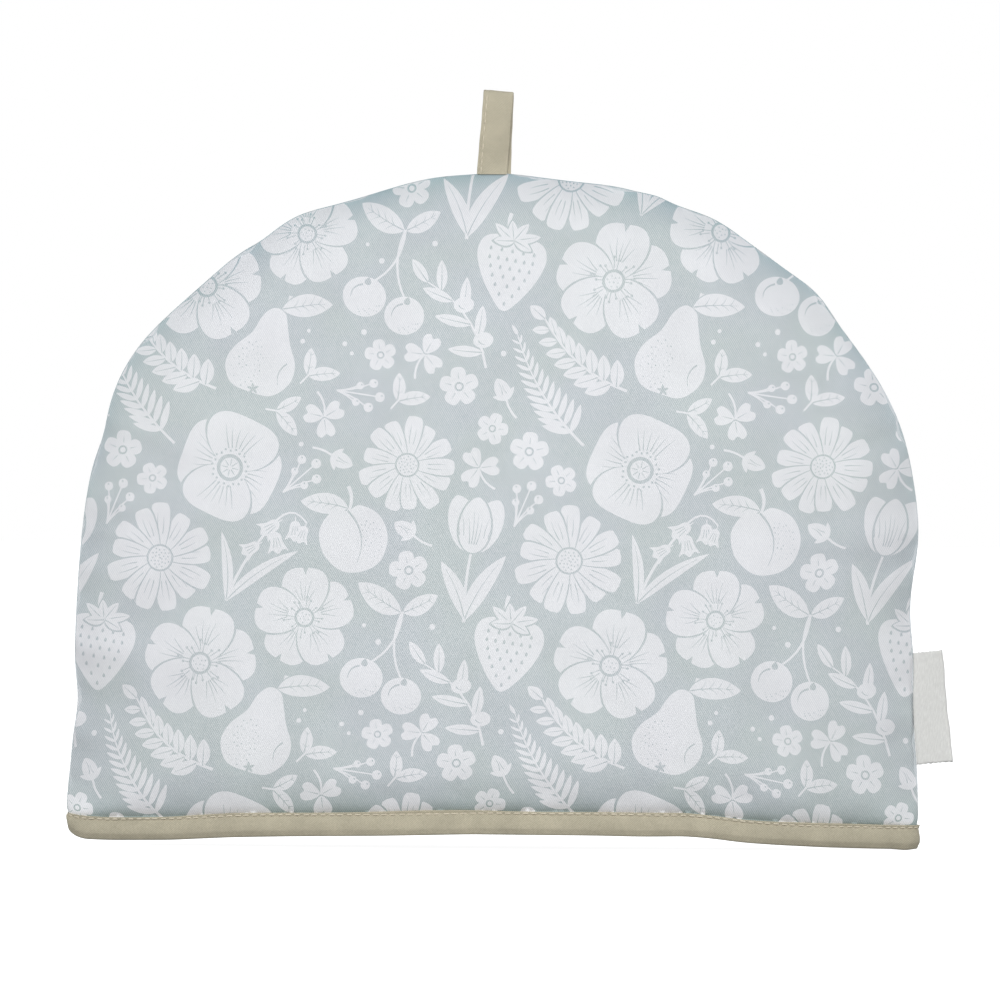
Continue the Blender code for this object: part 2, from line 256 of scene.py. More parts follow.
def looseness(flat, inside, along, side):
    """How far the cloth stands off the even wadding: swells, and puckers at the seam and the hem."""
    x, height = flat.T
    loose = np.zeros(len(flat))
    for pitch, depth, reach, phase in SEAM_PUCKERS:
        wave = np.cos(2 * math.pi * along / (pitch * MM) + phase + 1.7 * np.sin(along / 0.061 + phase))
        strength = 0.65 + 0.35 * np.sin(along / 0.027 + 3 * phase + side)
        loose += depth * MM * wave * strength * np.exp(-inside / (reach * MM))
    for pitch, depth, reach, phase in HEM_PUCKERS:
        wave = np.cos(2 * math.pi * x / (pitch * MM) + phase + side + 1.4 * np.sin(x / 0.033))
        above = np.maximum(height - BINDING_HEIGHT, 0.0)
        loose += depth * MM * wave * np.exp(-above / (reach * MM))
    for at_x, at_z, out, spread in SWELLS:
        away = (x + side * at_x * MM) ** 2 + (height - at_z * MM) ** 2
        loose += out * MM * np.exp(-away / (spread * MM) ** 2)
    return loose


CLOTH_PITCH = 4.2 * MM
CLOTH_X = np.arange(-43, 44) * CLOTH_PITCH
CLOTH_Z = BINDING_HEIGHT + np.arange(65) * CLOTH_PITCH
CLOTH_SPARE = 0.005  # share by which the cloth is cut wider than the seam holds it
CLOTH_MOST = 2.1 * MM  # most that it may move


def settled_cloth(side):
    """How far Blender's cloth moves the outer cloth off the even wadding, at the points of an even
    grid of the pattern. The seam and the binding hold it, and the wadding presses it outwards."""
    flat = np.array([(x, z) for z in CLOTH_Z for x in CLOTH_X])
    columns = len(CLOTH_X)
    within = (from_seam(flat)[0] > 1.6 * MM).reshape(len(CLOTH_Z), columns)
    whole = within[:-1, :-1] & within[1:, :-1] & within[:-1, 1:] & within[1:, 1:]
    quads = [
        (r * columns + c, r * columns + c + 1, (r + 1) * columns + c + 1, (r + 1) * columns + c)
        for r, c in np.argwhere(whole)
    ]
    around = np.bincount(np.ravel(quads), minlength=len(flat))
    used = np.flatnonzero(around)
    index = np.full(len(flat), -1)
    index[used] = np.arange(len(used))
    start = outer_face(flat[used], side)
    mesh = bpy.data.meshes.new("outer_cloth")
    mesh.from_pydata([tuple(p) for p in start.tolist()], [], index[np.array(quads)].tolist())
    cloth = bpy.data.objects.new("outer_cloth", mesh)
    bpy.context.scene.collection.objects.link(cloth)
    held = cloth.vertex_groups.new(name="held")
    held.add([int(v) for v in np.flatnonzero(around[used] < 4)], 1.0, "REPLACE")
    modifier = cloth.modifiers.new("cloth", "CLOTH")
    modifier.settings.quality = 6
    modifier.settings.mass = 0.15
    modifier.settings.tension_stiffness = 15.0
    modifier.settings.compression_stiffness = 15.0
    modifier.settings.shear_stiffness = 5.0
    modifier.settings.bending_stiffness = 0.5
    modifier.settings.air_damping = 2.0
    modifier.settings.use_pressure = True
    modifier.settings.uniform_pressure_force = 2.5
    modifier.settings.vertex_group_mass = "held"
    modifier.settings.pin_stiffness = 1.0
    modifier.settings.shrink_min = -CLOTH_SPARE
    modifier.settings.effector_weights.gravity = 0.0
    modifier.collision_settings.use_collision = False
    modifier.point_cache.frame_start = 1
    modifier.point_cache.frame_end = 20
    for frame_number in range(1, 21):
        bpy.context.scene.frame_set(frame_number)
    moved_mesh = cloth.evaluated_get(bpy.context.evaluated_depsgraph_get()).to_mesh()
    end = np.empty((len(used), 3))
    moved_mesh.vertices.foreach_get("co", end.ravel())
    bpy.context.scene.frame_set(1)
    bpy.data.objects.remove(cloth)
    bpy.data.meshes.remove(mesh)
    out = np.zeros(len(flat))
    out[used] = CLOTH_MOST * np.tanh((end[:, 1] - start[:, 1]) * side / CLOTH_MOST)
    return out.reshape(len(CLOTH_Z), columns)


def spline_share(part, k):
    """Share of each of four neighbours in a smooth curve past them, for a part of the middle step."""
    shares = (
        (1 - part) ** 3 / 6,
        (3 * part**3 - 6 * part**2 + 4) / 6,
        (-3 * part**3 + 3 * part**2 + 3 * part + 1) / 6,
        part**3 / 6,
    )
    return shares[k]


SLACK = 1.2 * MM  # how far the cloth settles on average, so the wadding starts thinner by it
settled = {}  # side: how far the simulated cloth moves off the even wadding


def settled_depth(flat, side):
    """The settled cloth's movement at the pattern's points, smoothly between the grid's points."""
    if side not in settled:
        return SLACK
    column = np.clip((flat[:, 0] - CLOTH_X[0]) / CLOTH_PITCH, 1.0, len(CLOTH_X) - 2.001)
    row = np.clip((flat[:, 1] - CLOTH_Z[0]) / CLOTH_PITCH, 0.0, len(CLOTH_Z) - 1.001)
    grid = np.pad(settled[side], ((1, 2), (1, 1)), mode="edge")
    value = np.zeros(len(flat))
    for r in range(4):
        for c in range(4):
            at = grid[row.astype(int) + r, column.astype(int) + c]
            value += at * spline_share(row % 1.0, r) * spline_share(column % 1.0, c)
    return value


def outer_face(flat, side):
    """The shown face of a panel at the pattern's points (x, z); side is -1 in front, +1 behind."""
    inside, along, normal = from_seam(flat)
    height = flat[:, 1]
    above = np.maximum(height - BINDING_HEIGHT + TOP_LAP, 0.0)
    up = (height / SEAM_HEIGHT) ** 2
    free = 1.0 - (1.0 - np.minimum(above / PRESSED, 1.0)) ** 2.4
    bulge = sum(out * MM * (1.0 - np.exp(-above / (rise * MM))) for out, rise in BULGES)
    bulge = bulge * (1.0 - THINNING * up)
    loose = (looseness(flat, inside, along, side) + settled_depth(flat, side) - SLACK) * free
    crown = CROWN * free * (1.0 - np.exp(-inside / CROWN_SPREAD))
    reach = SHOWN_REACH + (CROWN_REACH - SHOWN_REACH) * up
    plump = 1.0 - (1.0 - np.minimum(inside / reach, 1.0)) ** 2
    fill = wadding_fill(inside)
    wadding = (HALF_WALL_IN_BINDING + bulge) * (fill + (plump - fill) * free) + loose * fill
    apart = GAP / 2 * (1.0 - np.exp(-inside / SEAM_CLOSING))
    depth = apart + wall_middle(flat[:, 0], height) + wadding
    return standing(flat, (depth + crown) * side, inside, along, normal)


def inner_face(flat, side):
    """The hidden face of a panel, which the pot touches."""
    inside, along, normal = from_seam(flat)
    height = flat[:, 1]
    free = smooth_step(height, BINDING_HEIGHT, BINDING_HEIGHT + 15 * MM)
    half_wall = HALF_WALL_IN_BINDING + (HALF_WALL - HALF_WALL_IN_BINDING) * free
    middle = wall_middle(flat[:, 0], height)
    hollow = middle - half_wall
    hollow = (hollow + np.sqrt(hollow**2 + (1.5 * MM) ** 2)) / 2
    outer = middle + half_wall * wadding_fill(inside)
    return standing(flat, (GAP / 2 + np.minimum(hollow, 0.9 * outer)) * side, inside, along, normal)


def standing(flat, y, inside, along, normal):
    """The pattern's points set up in the frame, with the unevenness of the stitched seam."""
    out = sum(
        swell * MM * np.exp(-(((along - place * MM) / (spread * MM)) ** 2))
        for place, swell, spread in SEAM_UNEVEN
    )
    out = out * np.exp(-((inside / UNEVEN_REACH) ** 2)) * smooth_step(flat[:, 1], 5 * MM, 14 * MM)
    x = flat[:, 0] + normal[:, 0] * out
    z = flat[:, 1] + normal[:, 1] * out
    return stood(x, y, z)


# The pattern, in mm: its outline, and the points that carry the curves of the surface.
HEM_LOW = 1.5
HEM_ROWS = (5.0, 8.5, 9.5, 10.3, 11.2, 12.4, 14.0, 16.0, 18.4, 21.2)
RIM_STEPS = (0.25, 0.7, 1.3, 2.1, 3.1, 4.3, 5.7, 7.2, 9.2, 11.8)  # in from the seam
RIM_PITCH = 2.5
SHOWN_PITCH = 2.8
HIDDEN_RIM_STEPS = (1.3, 3.1, 5.7, 9.0, 14.0)
HIDDEN_PITCH = 7.0


def rim():
    """Points in mm and normals along the seam, hem to hem: one at each hem row, even steps between."""
    half = SEAM_SAMPLES // 2
    heights = MM * np.array((HEM_LOW, *HEM_ROWS))
    *rows, last = np.interp(heights, SEAM[:half, 1], SEAM_LENGTH[:half]).tolist()
    whole = SEAM_LENGTH[-1]
    steps = round((whole - 2 * last) / RIM_PITCH / MM)
    over_the_top = np.linspace(last, whole - last, steps + 1)
    places = np.array(rows + list(over_the_top) + [whole - row for row in reversed(rows)])
    points, normals = (
        np.stack([np.interp(places, SEAM_LENGTH, values[:, axis]) for axis in (0, 1)], axis=1)
        for values in (SEAM, SEAM_NORMAL)
    )
    return points / MM, normals


def pattern_outline():
    """The pattern's outline in mm: over the seam from left to right, then back along the hem."""
    seam, _ = rim()
    right = seam[-1, 0]
    corner = right - np.array(RIM_STEPS)
    middle = np.linspace(corner[-1], -corner[-1], round(2 * corner[-1] / SHOWN_PITCH) + 1)
    hem = np.concatenate([corner, middle[1:-1], -corner[::-1]])
    return seam, np.stack([hem, np.full(len(hem), HEM_LOW)], axis=1)


def pattern_fill(pitch, rim_steps):
    """Points in mm that fill the outline: rings along the seam, rows along the hem, staggered rows."""
    seam, normals = rim()
    rings = [seam[1:-1] - normals[1:-1] * step for step in rim_steps]
    reach = SEAM_HALF_WIDTH / MM - rim_steps[-1]
    columns = round(2 * reach / pitch)
    rows = [(x, row) for row in HEM_ROWS for x in np.linspace(-reach, reach, columns + 1)]
    # Rows 0.87 of the pitch apart, each shifted by half of it, make even triangles.
    for r in range(1, int((SEAM_HEIGHT / MM - HEM_ROWS[-1]) / (0.87 * pitch)) + 1):
        shift = 0.5 * pitch * (r % 2)
        z = HEM_ROWS[-1] + r * 0.87 * pitch
        rows += [(x, z) for x in np.arange(-reach + shift, reach, pitch)]
    rows = np.array(rows)
    level = (np.abs(rows[:, 0]) * MM / SEAM_HALF_WIDTH) ** SIDE_POWER
    rows = rows[level + (rows[:, 1] * MM / SEAM_HEIGHT) ** CROWN_POWER < 1.0]
    inside, _, _ = from_seam(rows * MM)
    rows = rows[inside / MM > rim_steps[-1] + 0.45 * pitch]
    return np.vstack([*rings, rows])


# The print: white flowers, fruit and leaves on the dyed ground, a common kitchen pattern.
# A motif is a list of (ink, outline in mm), where a later outline covers an earlier one.
INK = True
GROUND = False


def turned(points, degrees, at=(0.0, 0.0), size=1.0):
    """The points scaled, turned anticlockwise about (0, 0) and moved to a place."""
    c, s = math.cos(math.radians(degrees)), math.sin(math.radians(degrees))
    p = np.asarray(points, float) * size
    return np.stack([p[:, 0] * c - p[:, 1] * s + at[0], p[:, 0] * s + p[:, 1] * c + at[1]], axis=1)


def moved(shapes, degrees=0.0, at=(0.0, 0.0), size=1.0):
    """A motif's shapes, turned and moved as turned() does."""
    return [(ink, turned(p, degrees, at, size)) for ink, p in shapes]


def blade(length, width, root=0.8, tip=0.8, bend=0.0, steps=12):
    """A petal or leaf outline growing up from (0, 0); a small tip value makes it blunt."""
    t = (1 - np.cos(np.pi * np.arange(steps + 1) / steps)) / 2
    peak = (root / (root + tip)) ** root * (tip / (root + tip)) ** tip
    half = width / 2 * t**root * (1 - t) ** tip / peak
    lean = bend * t**2
    right = np.stack([lean + half, length * t], axis=1)
    left = np.stack([lean - half, length * t], axis=1)
    return np.vstack([right, left[-2:0:-1]])


def disc(radius, at=(0.0, 0.0), steps=14, tall=1.0):
    """A round or oval outline."""
    a = 2 * np.pi * np.arange(steps) / steps
    return np.stack([at[0] + radius * np.cos(a), at[1] + radius * tall * np.sin(a)], axis=1)


def stroke(path, start, end):
    """A line that tapers from one width to another along its path."""
    p = np.asarray(path, float)
    d = np.gradient(p, axis=0)
    d /= np.linalg.norm(d, axis=1)[:, None]
    side = np.stack([-d[:, 1], d[:, 0]], axis=1)
    half = np.linspace(start, end, len(p))[:, None] / 2
    return np.vstack([p + side * half, (p - side * half)[::-1]])


def arc(start, end, bow, steps=7):
    """Points from start to end, bowed to the left by a share of the distance."""
    a, b = np.asarray(start, float), np.asarray(end, float)
    t = np.linspace(0, 1, steps)[:, None]
    across = np.array([-(b - a)[1], (b - a)[0]])
    return a + (b - a) * t + across * bow * 4 * t * (1 - t)


def line(ink, start, end, bow, steps, width, last_width):
    """A bowed line that tapers, printed or left bare."""
    return (ink, stroke(arc(start, end, bow, steps), width, last_width))


def round_through(corners, steps=5):
    """A smooth closed outline through a few corners."""
    p = np.asarray(corners, float)
    t = (np.arange(steps) / steps)[:, None]
    out = []
    for k in range(len(p)):
        a, b, c, d = p[k - 1], p[k], p[(k + 1) % len(p)], p[(k + 2) % len(p)]
        out.append(b + 0.5 * t * (c - a + t * (2 * a - 5 * b + 4 * c - d + t * (3 * (b - c) + d - a))))
    return np.vstack(out)


def mirrored(half):
    """The corners of an even outline, from those of its right half."""
    return half + [(-x, z) for x, z in half[-2:0:-1]]


GOLDEN_ANGLE = 2.399963  # radians from each dot to the next in an even spiral


def speckles(count, pitch, middle, squeeze, body, sizes):
    """Bare dots in a spiral about a middle, where they lie inside the body: half sizes, and height."""
    shapes = []
    for k in range(count):
        a, r = GOLDEN_ANGLE * k, pitch * math.sqrt(k + 0.6)
        x, z = middle[0] + r * math.cos(a) * squeeze[0], middle[1] + r * math.sin(a) * squeeze[1]
        if math.hypot(x / body[0], (z - body[2]) / body[1]) < 1:
            shapes.append((GROUND, disc(sizes[0] + sizes[1] * ((k * 7) % 5) / 4, (x, z), 5)))
    return shapes


def leaf(length, width, bend=0.0, ribs=0):
    """A leaf growing up from (0, 0), with its ribs left bare."""
    rib = [(bend * (t * 0.86) ** 2, 0.86 * length * t) for t in np.linspace(0.02, 1, 6)]
    shapes = [(INK, blade(length, width, 0.75, 0.85, bend)), (GROUND, stroke(rib, 0.55, 0.15))]
    for k in range(ribs):
        t = 0.22 + 0.5 * k / max(1, ribs - 1)
        foot = np.array([bend * t**2, length * t])
        for side in (-1, 1):
            tip = foot + (side * width * 0.3, length * 0.13)
            shapes.append(line(GROUND, foot, tip, 0.08 * side, 4, 0.34, 0.12))
    return shapes


# The motifs follow, each drawn in mm about (0, 0).


def wild_rose():
    shapes = []
    for k in range(5):
        spin = 72 * k + (3, -4, 5, -2, 4)[k]
        shapes += moved([(GROUND, blade(25.2, 24.5, 0.62, 0.36))], spin)
        petal = [(INK, blade(24.2, 22.6, 0.62, 0.33, steps=16))]
        petal.append((GROUND, [(-1.5, 25.0), (0.0, 20.8), (1.7, 25.0)]))
        for lean, reach in ((-5.4, 0.62), (-2.6, 0.74), (0.3, 0.66), (3.0, 0.76), (5.6, 0.6)):
            petal.append(line(GROUND, (lean * 0.3, 8.2), (lean, 24 * reach), 0.02, 4, 0.5, 0.14))
        shapes += moved(petal, spin)
    shapes.append((GROUND, disc(4.9, steps=20)))
    for k in range(17):
        a = 2 * math.pi * (k + 0.4 * (k % 2)) / 17
        reach = 7.4 + 1.3 * (k % 3)
        tip = (reach * math.cos(a), reach * math.sin(a))
        shapes.append((GROUND, stroke([(0.55 * tip[0], 0.55 * tip[1]), tip], 0.42, 0.3)))
        shapes.append((GROUND, disc(0.62, tip, 6)))
    shapes.append((INK, disc(3.7, steps=16)))
    for k in range(9):
        r, a = 0.55 + 0.85 * math.sqrt(k), 2.4 * k
        shapes.append((GROUND, disc(0.36, (r * math.cos(a), r * math.sin(a)), 5)))
    return shapes


def poppy():
    shapes = []
    for spin, size in ((45, 1.0), (225, 0.97), (-45, 1.04), (135, 1.0)):
        shapes += moved([(GROUND, blade(24.2, 35.0, 0.5, 0.3, steps=16))], spin, size=size)
        petal = [(INK, blade(23.2, 32.6, 0.5, 0.3, steps=18))]
        for lean in (-9.0, -5.8, -2.4, 1.1, 4.4, 8.0):
            foot = (lean * 0.42, 9.4 - abs(lean) * 0.2)
            petal.append(line(GROUND, foot, (lean, 16.4 + (lean % 3)), 0.02, 4, 0.55, 0.14))
        shapes += moved(petal, spin, size=size)
    shapes.append((GROUND, disc(6.2, steps=20)))
    for k in range(22):
        a = 2 * math.pi * k / 22
        r = 7.7 + 0.8 * (k % 2)
        shapes.append((GROUND, disc(0.6, (r * math.cos(a), r * math.sin(a)), 6)))
    shapes.append((INK, disc(4.6, steps=18)))
    for k in range(8):
        a = math.pi * k / 4 + 0.2
        ray = [(r * math.cos(a), r * math.sin(a)) for r in (1.1, 4.0)]
        shapes.append((GROUND, stroke(ray, 0.5, 0.3)))
    return shapes


def tulip():
    shapes = [line(INK, (0.6, -30), (0, 4), 0.03, 8, 1.5, 1.2)]
    shapes += moved(leaf(34, 8.5, 7.0), -14, (0.6, -29))
    shapes += moved(leaf(27, 7.6, -6.0), 17, (0.4, -28))
    shapes += moved([(INK, blade(26, 15, 0.55, 0.62, -3.0))], 11, (-1.5, 2))
    shapes += moved([(INK, blade(26, 15, 0.55, 0.62, 3.0))], -11, (1.5, 2))
    shapes.append((GROUND, turned(blade(27.2, 16.4, 0.5, 0.62), 0, (0, 1.0))))
    shapes.append((INK, turned(blade(25.6, 14.6, 0.5, 0.62), 0, (0, 1.6))))
    for lean, top in ((-3.2, 17), (-1.2, 20.5), (1.0, 18.5), (3.0, 16)):
        shapes.append(line(GROUND, (lean * 0.5, 5.5), (lean, top), -0.03, 5, 0.5, 0.14))
    for side in (-1, 1):
        for foot, top in ((4.6, 15.5), (6.6, 13.0)):
            start, end = (side * foot, 9), (side * (foot + 1.6), top + 2.5)
            shapes.append(line(GROUND, start, end, 0.04 * side, 4, 0.42, 0.14))
    return shapes


def pear():
    right = [(0, -19), (8.5, -18), (14.2, -11), (14.4, -3), (9.6, 5), (6.4, 12), (3.6, 17.2)]
    left = [(-1.6, 18.2), (-5.6, 13.6), (-8.0, 6), (-13.4, -2), (-14.6, -10), (-9.4, -17.6)]
    shapes = [line(INK, (0.6, 16), (3.6, 25), -0.12, 6, 1.1, 1.7), (INK, round_through(right + left))]
    shapes += moved([(GROUND, blade(22.6, 11.0, 0.75, 0.85, 3.4))], -62, (1.6, 18.4))
    shapes += moved(leaf(21.5, 9.6, 3.4, 4), -62, (1.8, 18.6))
    shapes += speckles(58, 1.32, (-6.0, -6.0), (0.72, 1.15), (12.6, 11.6, -7.0), (0.16, 0.22))
    for k in range(5):
        shapes.append((GROUND, turned(blade(2.6, 1.2, 0.7, 0.9, steps=4), 72 * k + 20, (0.2, -17.2))))
    shapes.append(line(GROUND, (9.6, -12.5), (10.8, -3), 0.18, 7, 0.2, 0.7))
    return shapes


def strawberry():
    half = [(0, -19), (5.6, -14.2), (11.6, -5), (14.6, 4), (12.4, 10.6), (5.6, 12.6), (0, 11.4)]
    shapes = [line(INK, (0, 11), (-3, 22), 0.14, 6, 1.2, 1.7), (INK, round_through(mirrored(half)))]
    for row, count in enumerate((5, 6, 5, 4, 3, 2, 1)):
        z = 6.4 - 3.7 * row
        half = 11.4 * math.sqrt(max(0.0, 1 - ((z - 5.6) / 23.0) ** 2)) - 0.35 * row
        for k in range(count):
            x = half * (2 * (k + 0.5) / count - 1)
            shapes.append((GROUND, turned(blade(1.9, 1.25, 0.8, 0.4, steps=4), 180, (x, z + 0.9))))
    sepals = ((62, 10.6), (104, 8.6), (20, 8.4), (-26, 9.4), (-68, 11.2), (-106, 8.2))
    for spin, long in sepals:
        shapes += moved([(GROUND, blade(long + 1.0, 5.2, 0.6, 0.9, 0.8))], spin, (0, 10.6))
    for spin, long in sepals:
        shapes += moved(leaf(long, 4.0, 0.8), spin, (0, 10.8))
    return shapes


def cherries():
    top = (2.0, 24.0)
    pair = ((-9.5, -9.0, 9.6, -0.14), (9.6, -13.5, 9.0, 0.12))
    shapes = [line(INK, (x * 0.93, z + 6.4), top, bow, 9, 0.9, 1.2) for x, z, _, bow in pair]
    for x, z, size, _ in pair:
        shapes.append((INK, disc(size, (x, z), 26, 0.95)))
        shapes.append((GROUND, turned(blade(3.6, 3.0, 0.9, 0.5, steps=6), 180, (x, z + size * 0.94))))
        start, end = (x - size * 0.62, z - 1.5), (x - size * 0.2, z + size * 0.56)
        shapes.append(line(GROUND, start, end, 0.2, 6, 0.25, 0.95))
        for k in range(16):
            a = -1.9 + 0.11 * k
            r = size * (0.62 + 0.09 * ((k * 5) % 4))
            at = (x + r * math.cos(a), z + r * math.sin(a) * 0.95)
            shapes.append((GROUND, disc(0.2 + 0.07 * (k % 3), at, 5)))
    shapes += moved(leaf(23, 10.5, 2.5, 4), 74, (1.4, 23.6))
    shapes += moved(leaf(17, 8.0, -2.0, 3), -58, (2.4, 23.8))
    return shapes


def eucalyptus():
    spine = arc((-3, -27), (5, 22), 0.1, 9)
    shapes = [(INK, stroke(spine, 1.3, 0.7))]
    for k, (x, z) in enumerate(spine[1:8], 1):
        for side in (-1, 1):
            lean = side * (63 - 3.2 * k) - 4
            shapes += moved(leaf(12.0, 6.0, side * 0.8), lean, (x, z + 1.5 * side), 1.1 - 0.065 * k)
    return shapes + moved(leaf(9.0, 5.6), -10, spine[-1])


def fern():
    spine = arc((4, -29), (-3, 27), 0.07, 15)
    shapes = [(INK, stroke(spine, 1.3, 0.4))]
    for k, at in enumerate(spine[2:14], 2):
        for side in (-1, 1):
            frond = [(INK, blade(13.5, 3.4, 0.6, 0.75, side * 1.6, 7))]
            shapes += moved(frond, side * (58 - 1.2 * k) + 5, at, 1.06 - 0.058 * k)
    return shapes + moved([(INK, blade(5, 1.8, 0.6, 0.9, 0, 6))], 6, spine[-1])


def olive():
    spine = arc((-14, -17), (13, 18), -0.12, 8)
    shapes = [(INK, stroke(spine, 1.2, 0.6))]
    leaves = ((52, 15), (-48, 14), (44, 16), (-46, 15), (34, 14), (-40, 13), (2, 12))
    for k, (lean, long) in enumerate(leaves):
        shapes += moved(leaf(long, 4.8, 0.8 * (-1) ** k), lean - 36, spine[min(k + 1, 7)])
    for x, z in ((-3.0, -12.2), (8.6, 0.4)):
        shapes.append((INK, turned(disc(3.4, steps=14, tall=1.3), 28, (x, z))))
        shapes.append(line(GROUND, (x - 1.5, z - 1.2), (x - 0.9, z + 2.0), 0.16, 5, 0.2, 0.55))
    return shapes


def marguerite():
    shapes = []
    for k in range(13):
        petal = [(GROUND, blade(21.6, 8.8, 0.75, 0.22, steps=10))]
        petal.append((INK, blade(20.8, 7.4, 0.75, 0.22, steps=12)))
        petal.append(line(GROUND, (-0.7, 9), (-1.0, 16.8), 0.03, 4, 0.45, 0.14))
        petal.append(line(GROUND, (0.9, 9), (1.2, 15.2), -0.03, 4, 0.42, 0.14))
        spin = 360 * k / 13 + (0, 3, -2, 2, -3)[k % 5]
        shapes += moved(petal, spin, size=(1.0, 0.93, 1.04, 0.97)[k % 4])
    shapes.append((GROUND, disc(5.4, steps=18)))
    shapes.append((INK, disc(4.6, steps=18)))
    for k in range(26):
        r, a = 0.8 * math.sqrt(k), GOLDEN_ANGLE * k
        shapes.append((GROUND, disc(0.36, (r * math.cos(a), r * math.sin(a)), 5)))
    return shapes


def plum():
    right = [(0, -15.5), (8.0, -13.2), (13.2, -5.0), (12.4, 4.4), (6.0, 10.4), (0.6, 9.6)]
    left = [(-5.4, 11.0), (-12.4, 5.4), (-13.6, -4.4), (-8.4, -13.0)]
    shapes = [line(INK, (0.4, 9), (3.4, 19), -0.14, 6, 1.0, 1.6), (INK, round_through(right + left))]
    shapes.append(line(GROUND, (0.6, 9.6), (-1.6, -11.6), 0.17, 9, 0.9, 0.2))
    shapes += moved(leaf(19, 8.6, -2.6, 4), 58, (0.8, 10.6))
    return shapes + speckles(44, 1.12, (6.0, -3.4), (0.7, 1.1), (11.6, 11.4, -2.6), (0.15, 0.2))


def bluebells():
    spine = np.vstack([arc((-6, -28), (-2, 12), 0.05, 8), arc((-1.6, 14), (11, 19), 0.3, 6)])
    shapes = [(INK, stroke(spine, 1.5, 0.7))]
    shapes += moved(leaf(38, 5.4, 9.0), -16, (-6, -28))
    shapes += moved(leaf(30, 5.0, -7.0), 17, (-6, -28))
    half = [(0, -2), (2.4, -3.4), (3.1, -7.4), (5.0, -11.4), (2.5, -10.4), (0, -12.4)]
    bell = [(INK, stroke([(0, 0), (0, -2.6)], 0.5, 0.6)), (INK, round_through(mirrored(half), 4))]
    for side in (-1, 0, 1):
        bell.append((GROUND, stroke([(side * 0.9, -4.6), (side * 1.7, -9.2)], 0.3, 0.42)))
    for x, z, lean, size in (
        (-3.0, 2.5, -34, 0.86),
        (-1.0, 10.5, 36, 0.95),
        (0.6, 15.5, -30, 0.95),
        (5.4, 19.2, 24, 0.9),
        (11.0, 19.0, 4, 0.8),
    ):
        shapes += moved(bell, lean, (x, z), size)
    return shapes


def blossom():
    shapes = []
    petal = [(INK, turned(blade(7.0, 6.2, 0.55, 0.36, steps=9), 0, (0, 0.9)))]
    petal.append((GROUND, stroke([(0, 3.1), (0, 5.7)], 0.4, 0.15)))
    for k in range(5):
        shapes += moved(petal, 72 * k)
    return shapes + [(GROUND, disc(1.9, steps=12)), (INK, disc(1.15, steps=10))]


def trefoil():
    shapes = [line(INK, (0, 0), (1.5, -11), -0.12, 6, 0.8, 1.0)]
    heart = round_through(mirrored([(0, 0.4), (3.2, 3.6), (3.9, 7.0), (1.9, 8.6), (0, 7.2)]), 3)
    for k in (-1, 0, 1):
        shapes += moved([(INK, heart), (GROUND, stroke([(0, 1.2), (0, 5.6)], 0.42, 0.16))], 112 * k)
    return shapes


def berries():
    shapes = []
    spray = ((0, 10.5, 2.1), (-5.2, 7.0, 1.9), (5.0, 6.4, 2.0), (-3.4, 1.6, 1.6), (3.6, 0.8, 1.7))
    for x, z, r in spray:
        shapes.append(line(INK, (0, -8), (x * 0.92, z - r * 0.7), 0.05 * np.sign(x), 6, 0.75, 0.55))
        shapes.append((INK, disc(r, (x, z), 12)))
        shapes.append((GROUND, disc(0.42, (x - r * 0.3, z + r * 0.35), 6)))
    return shapes


def leaf_pair():
    shapes = moved(leaf(14, 6.4, 1.5, 3), -34, (0.4, 0)) + moved(leaf(12, 5.8, -1.5, 2), 30, (-0.4, 0))
    return shapes + [(INK, stroke([(0, 1), (0, -5)], 0.8, 0.9))]


def bud():
    shapes = [line(INK, (0, -9), (0, 1), 0.08, 6, 1.0, 0.9), (INK, blade(9.5, 6.6, 0.5, 0.7, steps=9))]
    shapes.append(line(GROUND, (-0.9, 2.4), (-0.2, 7.6), -0.08, 5, 0.4, 0.15))
    shapes.append(line(GROUND, (1.0, 2.2), (0.8, 6.0), 0.08, 5, 0.36, 0.15))
    for side in (-1, 1):
        shapes += moved([(INK, blade(6.2, 2.3, 0.7, 0.9, -0.8 * side, 7))], 46 * side, (0, -0.4))
    return shapes


def dot():
    return [(INK, disc(1.25, steps=9))]


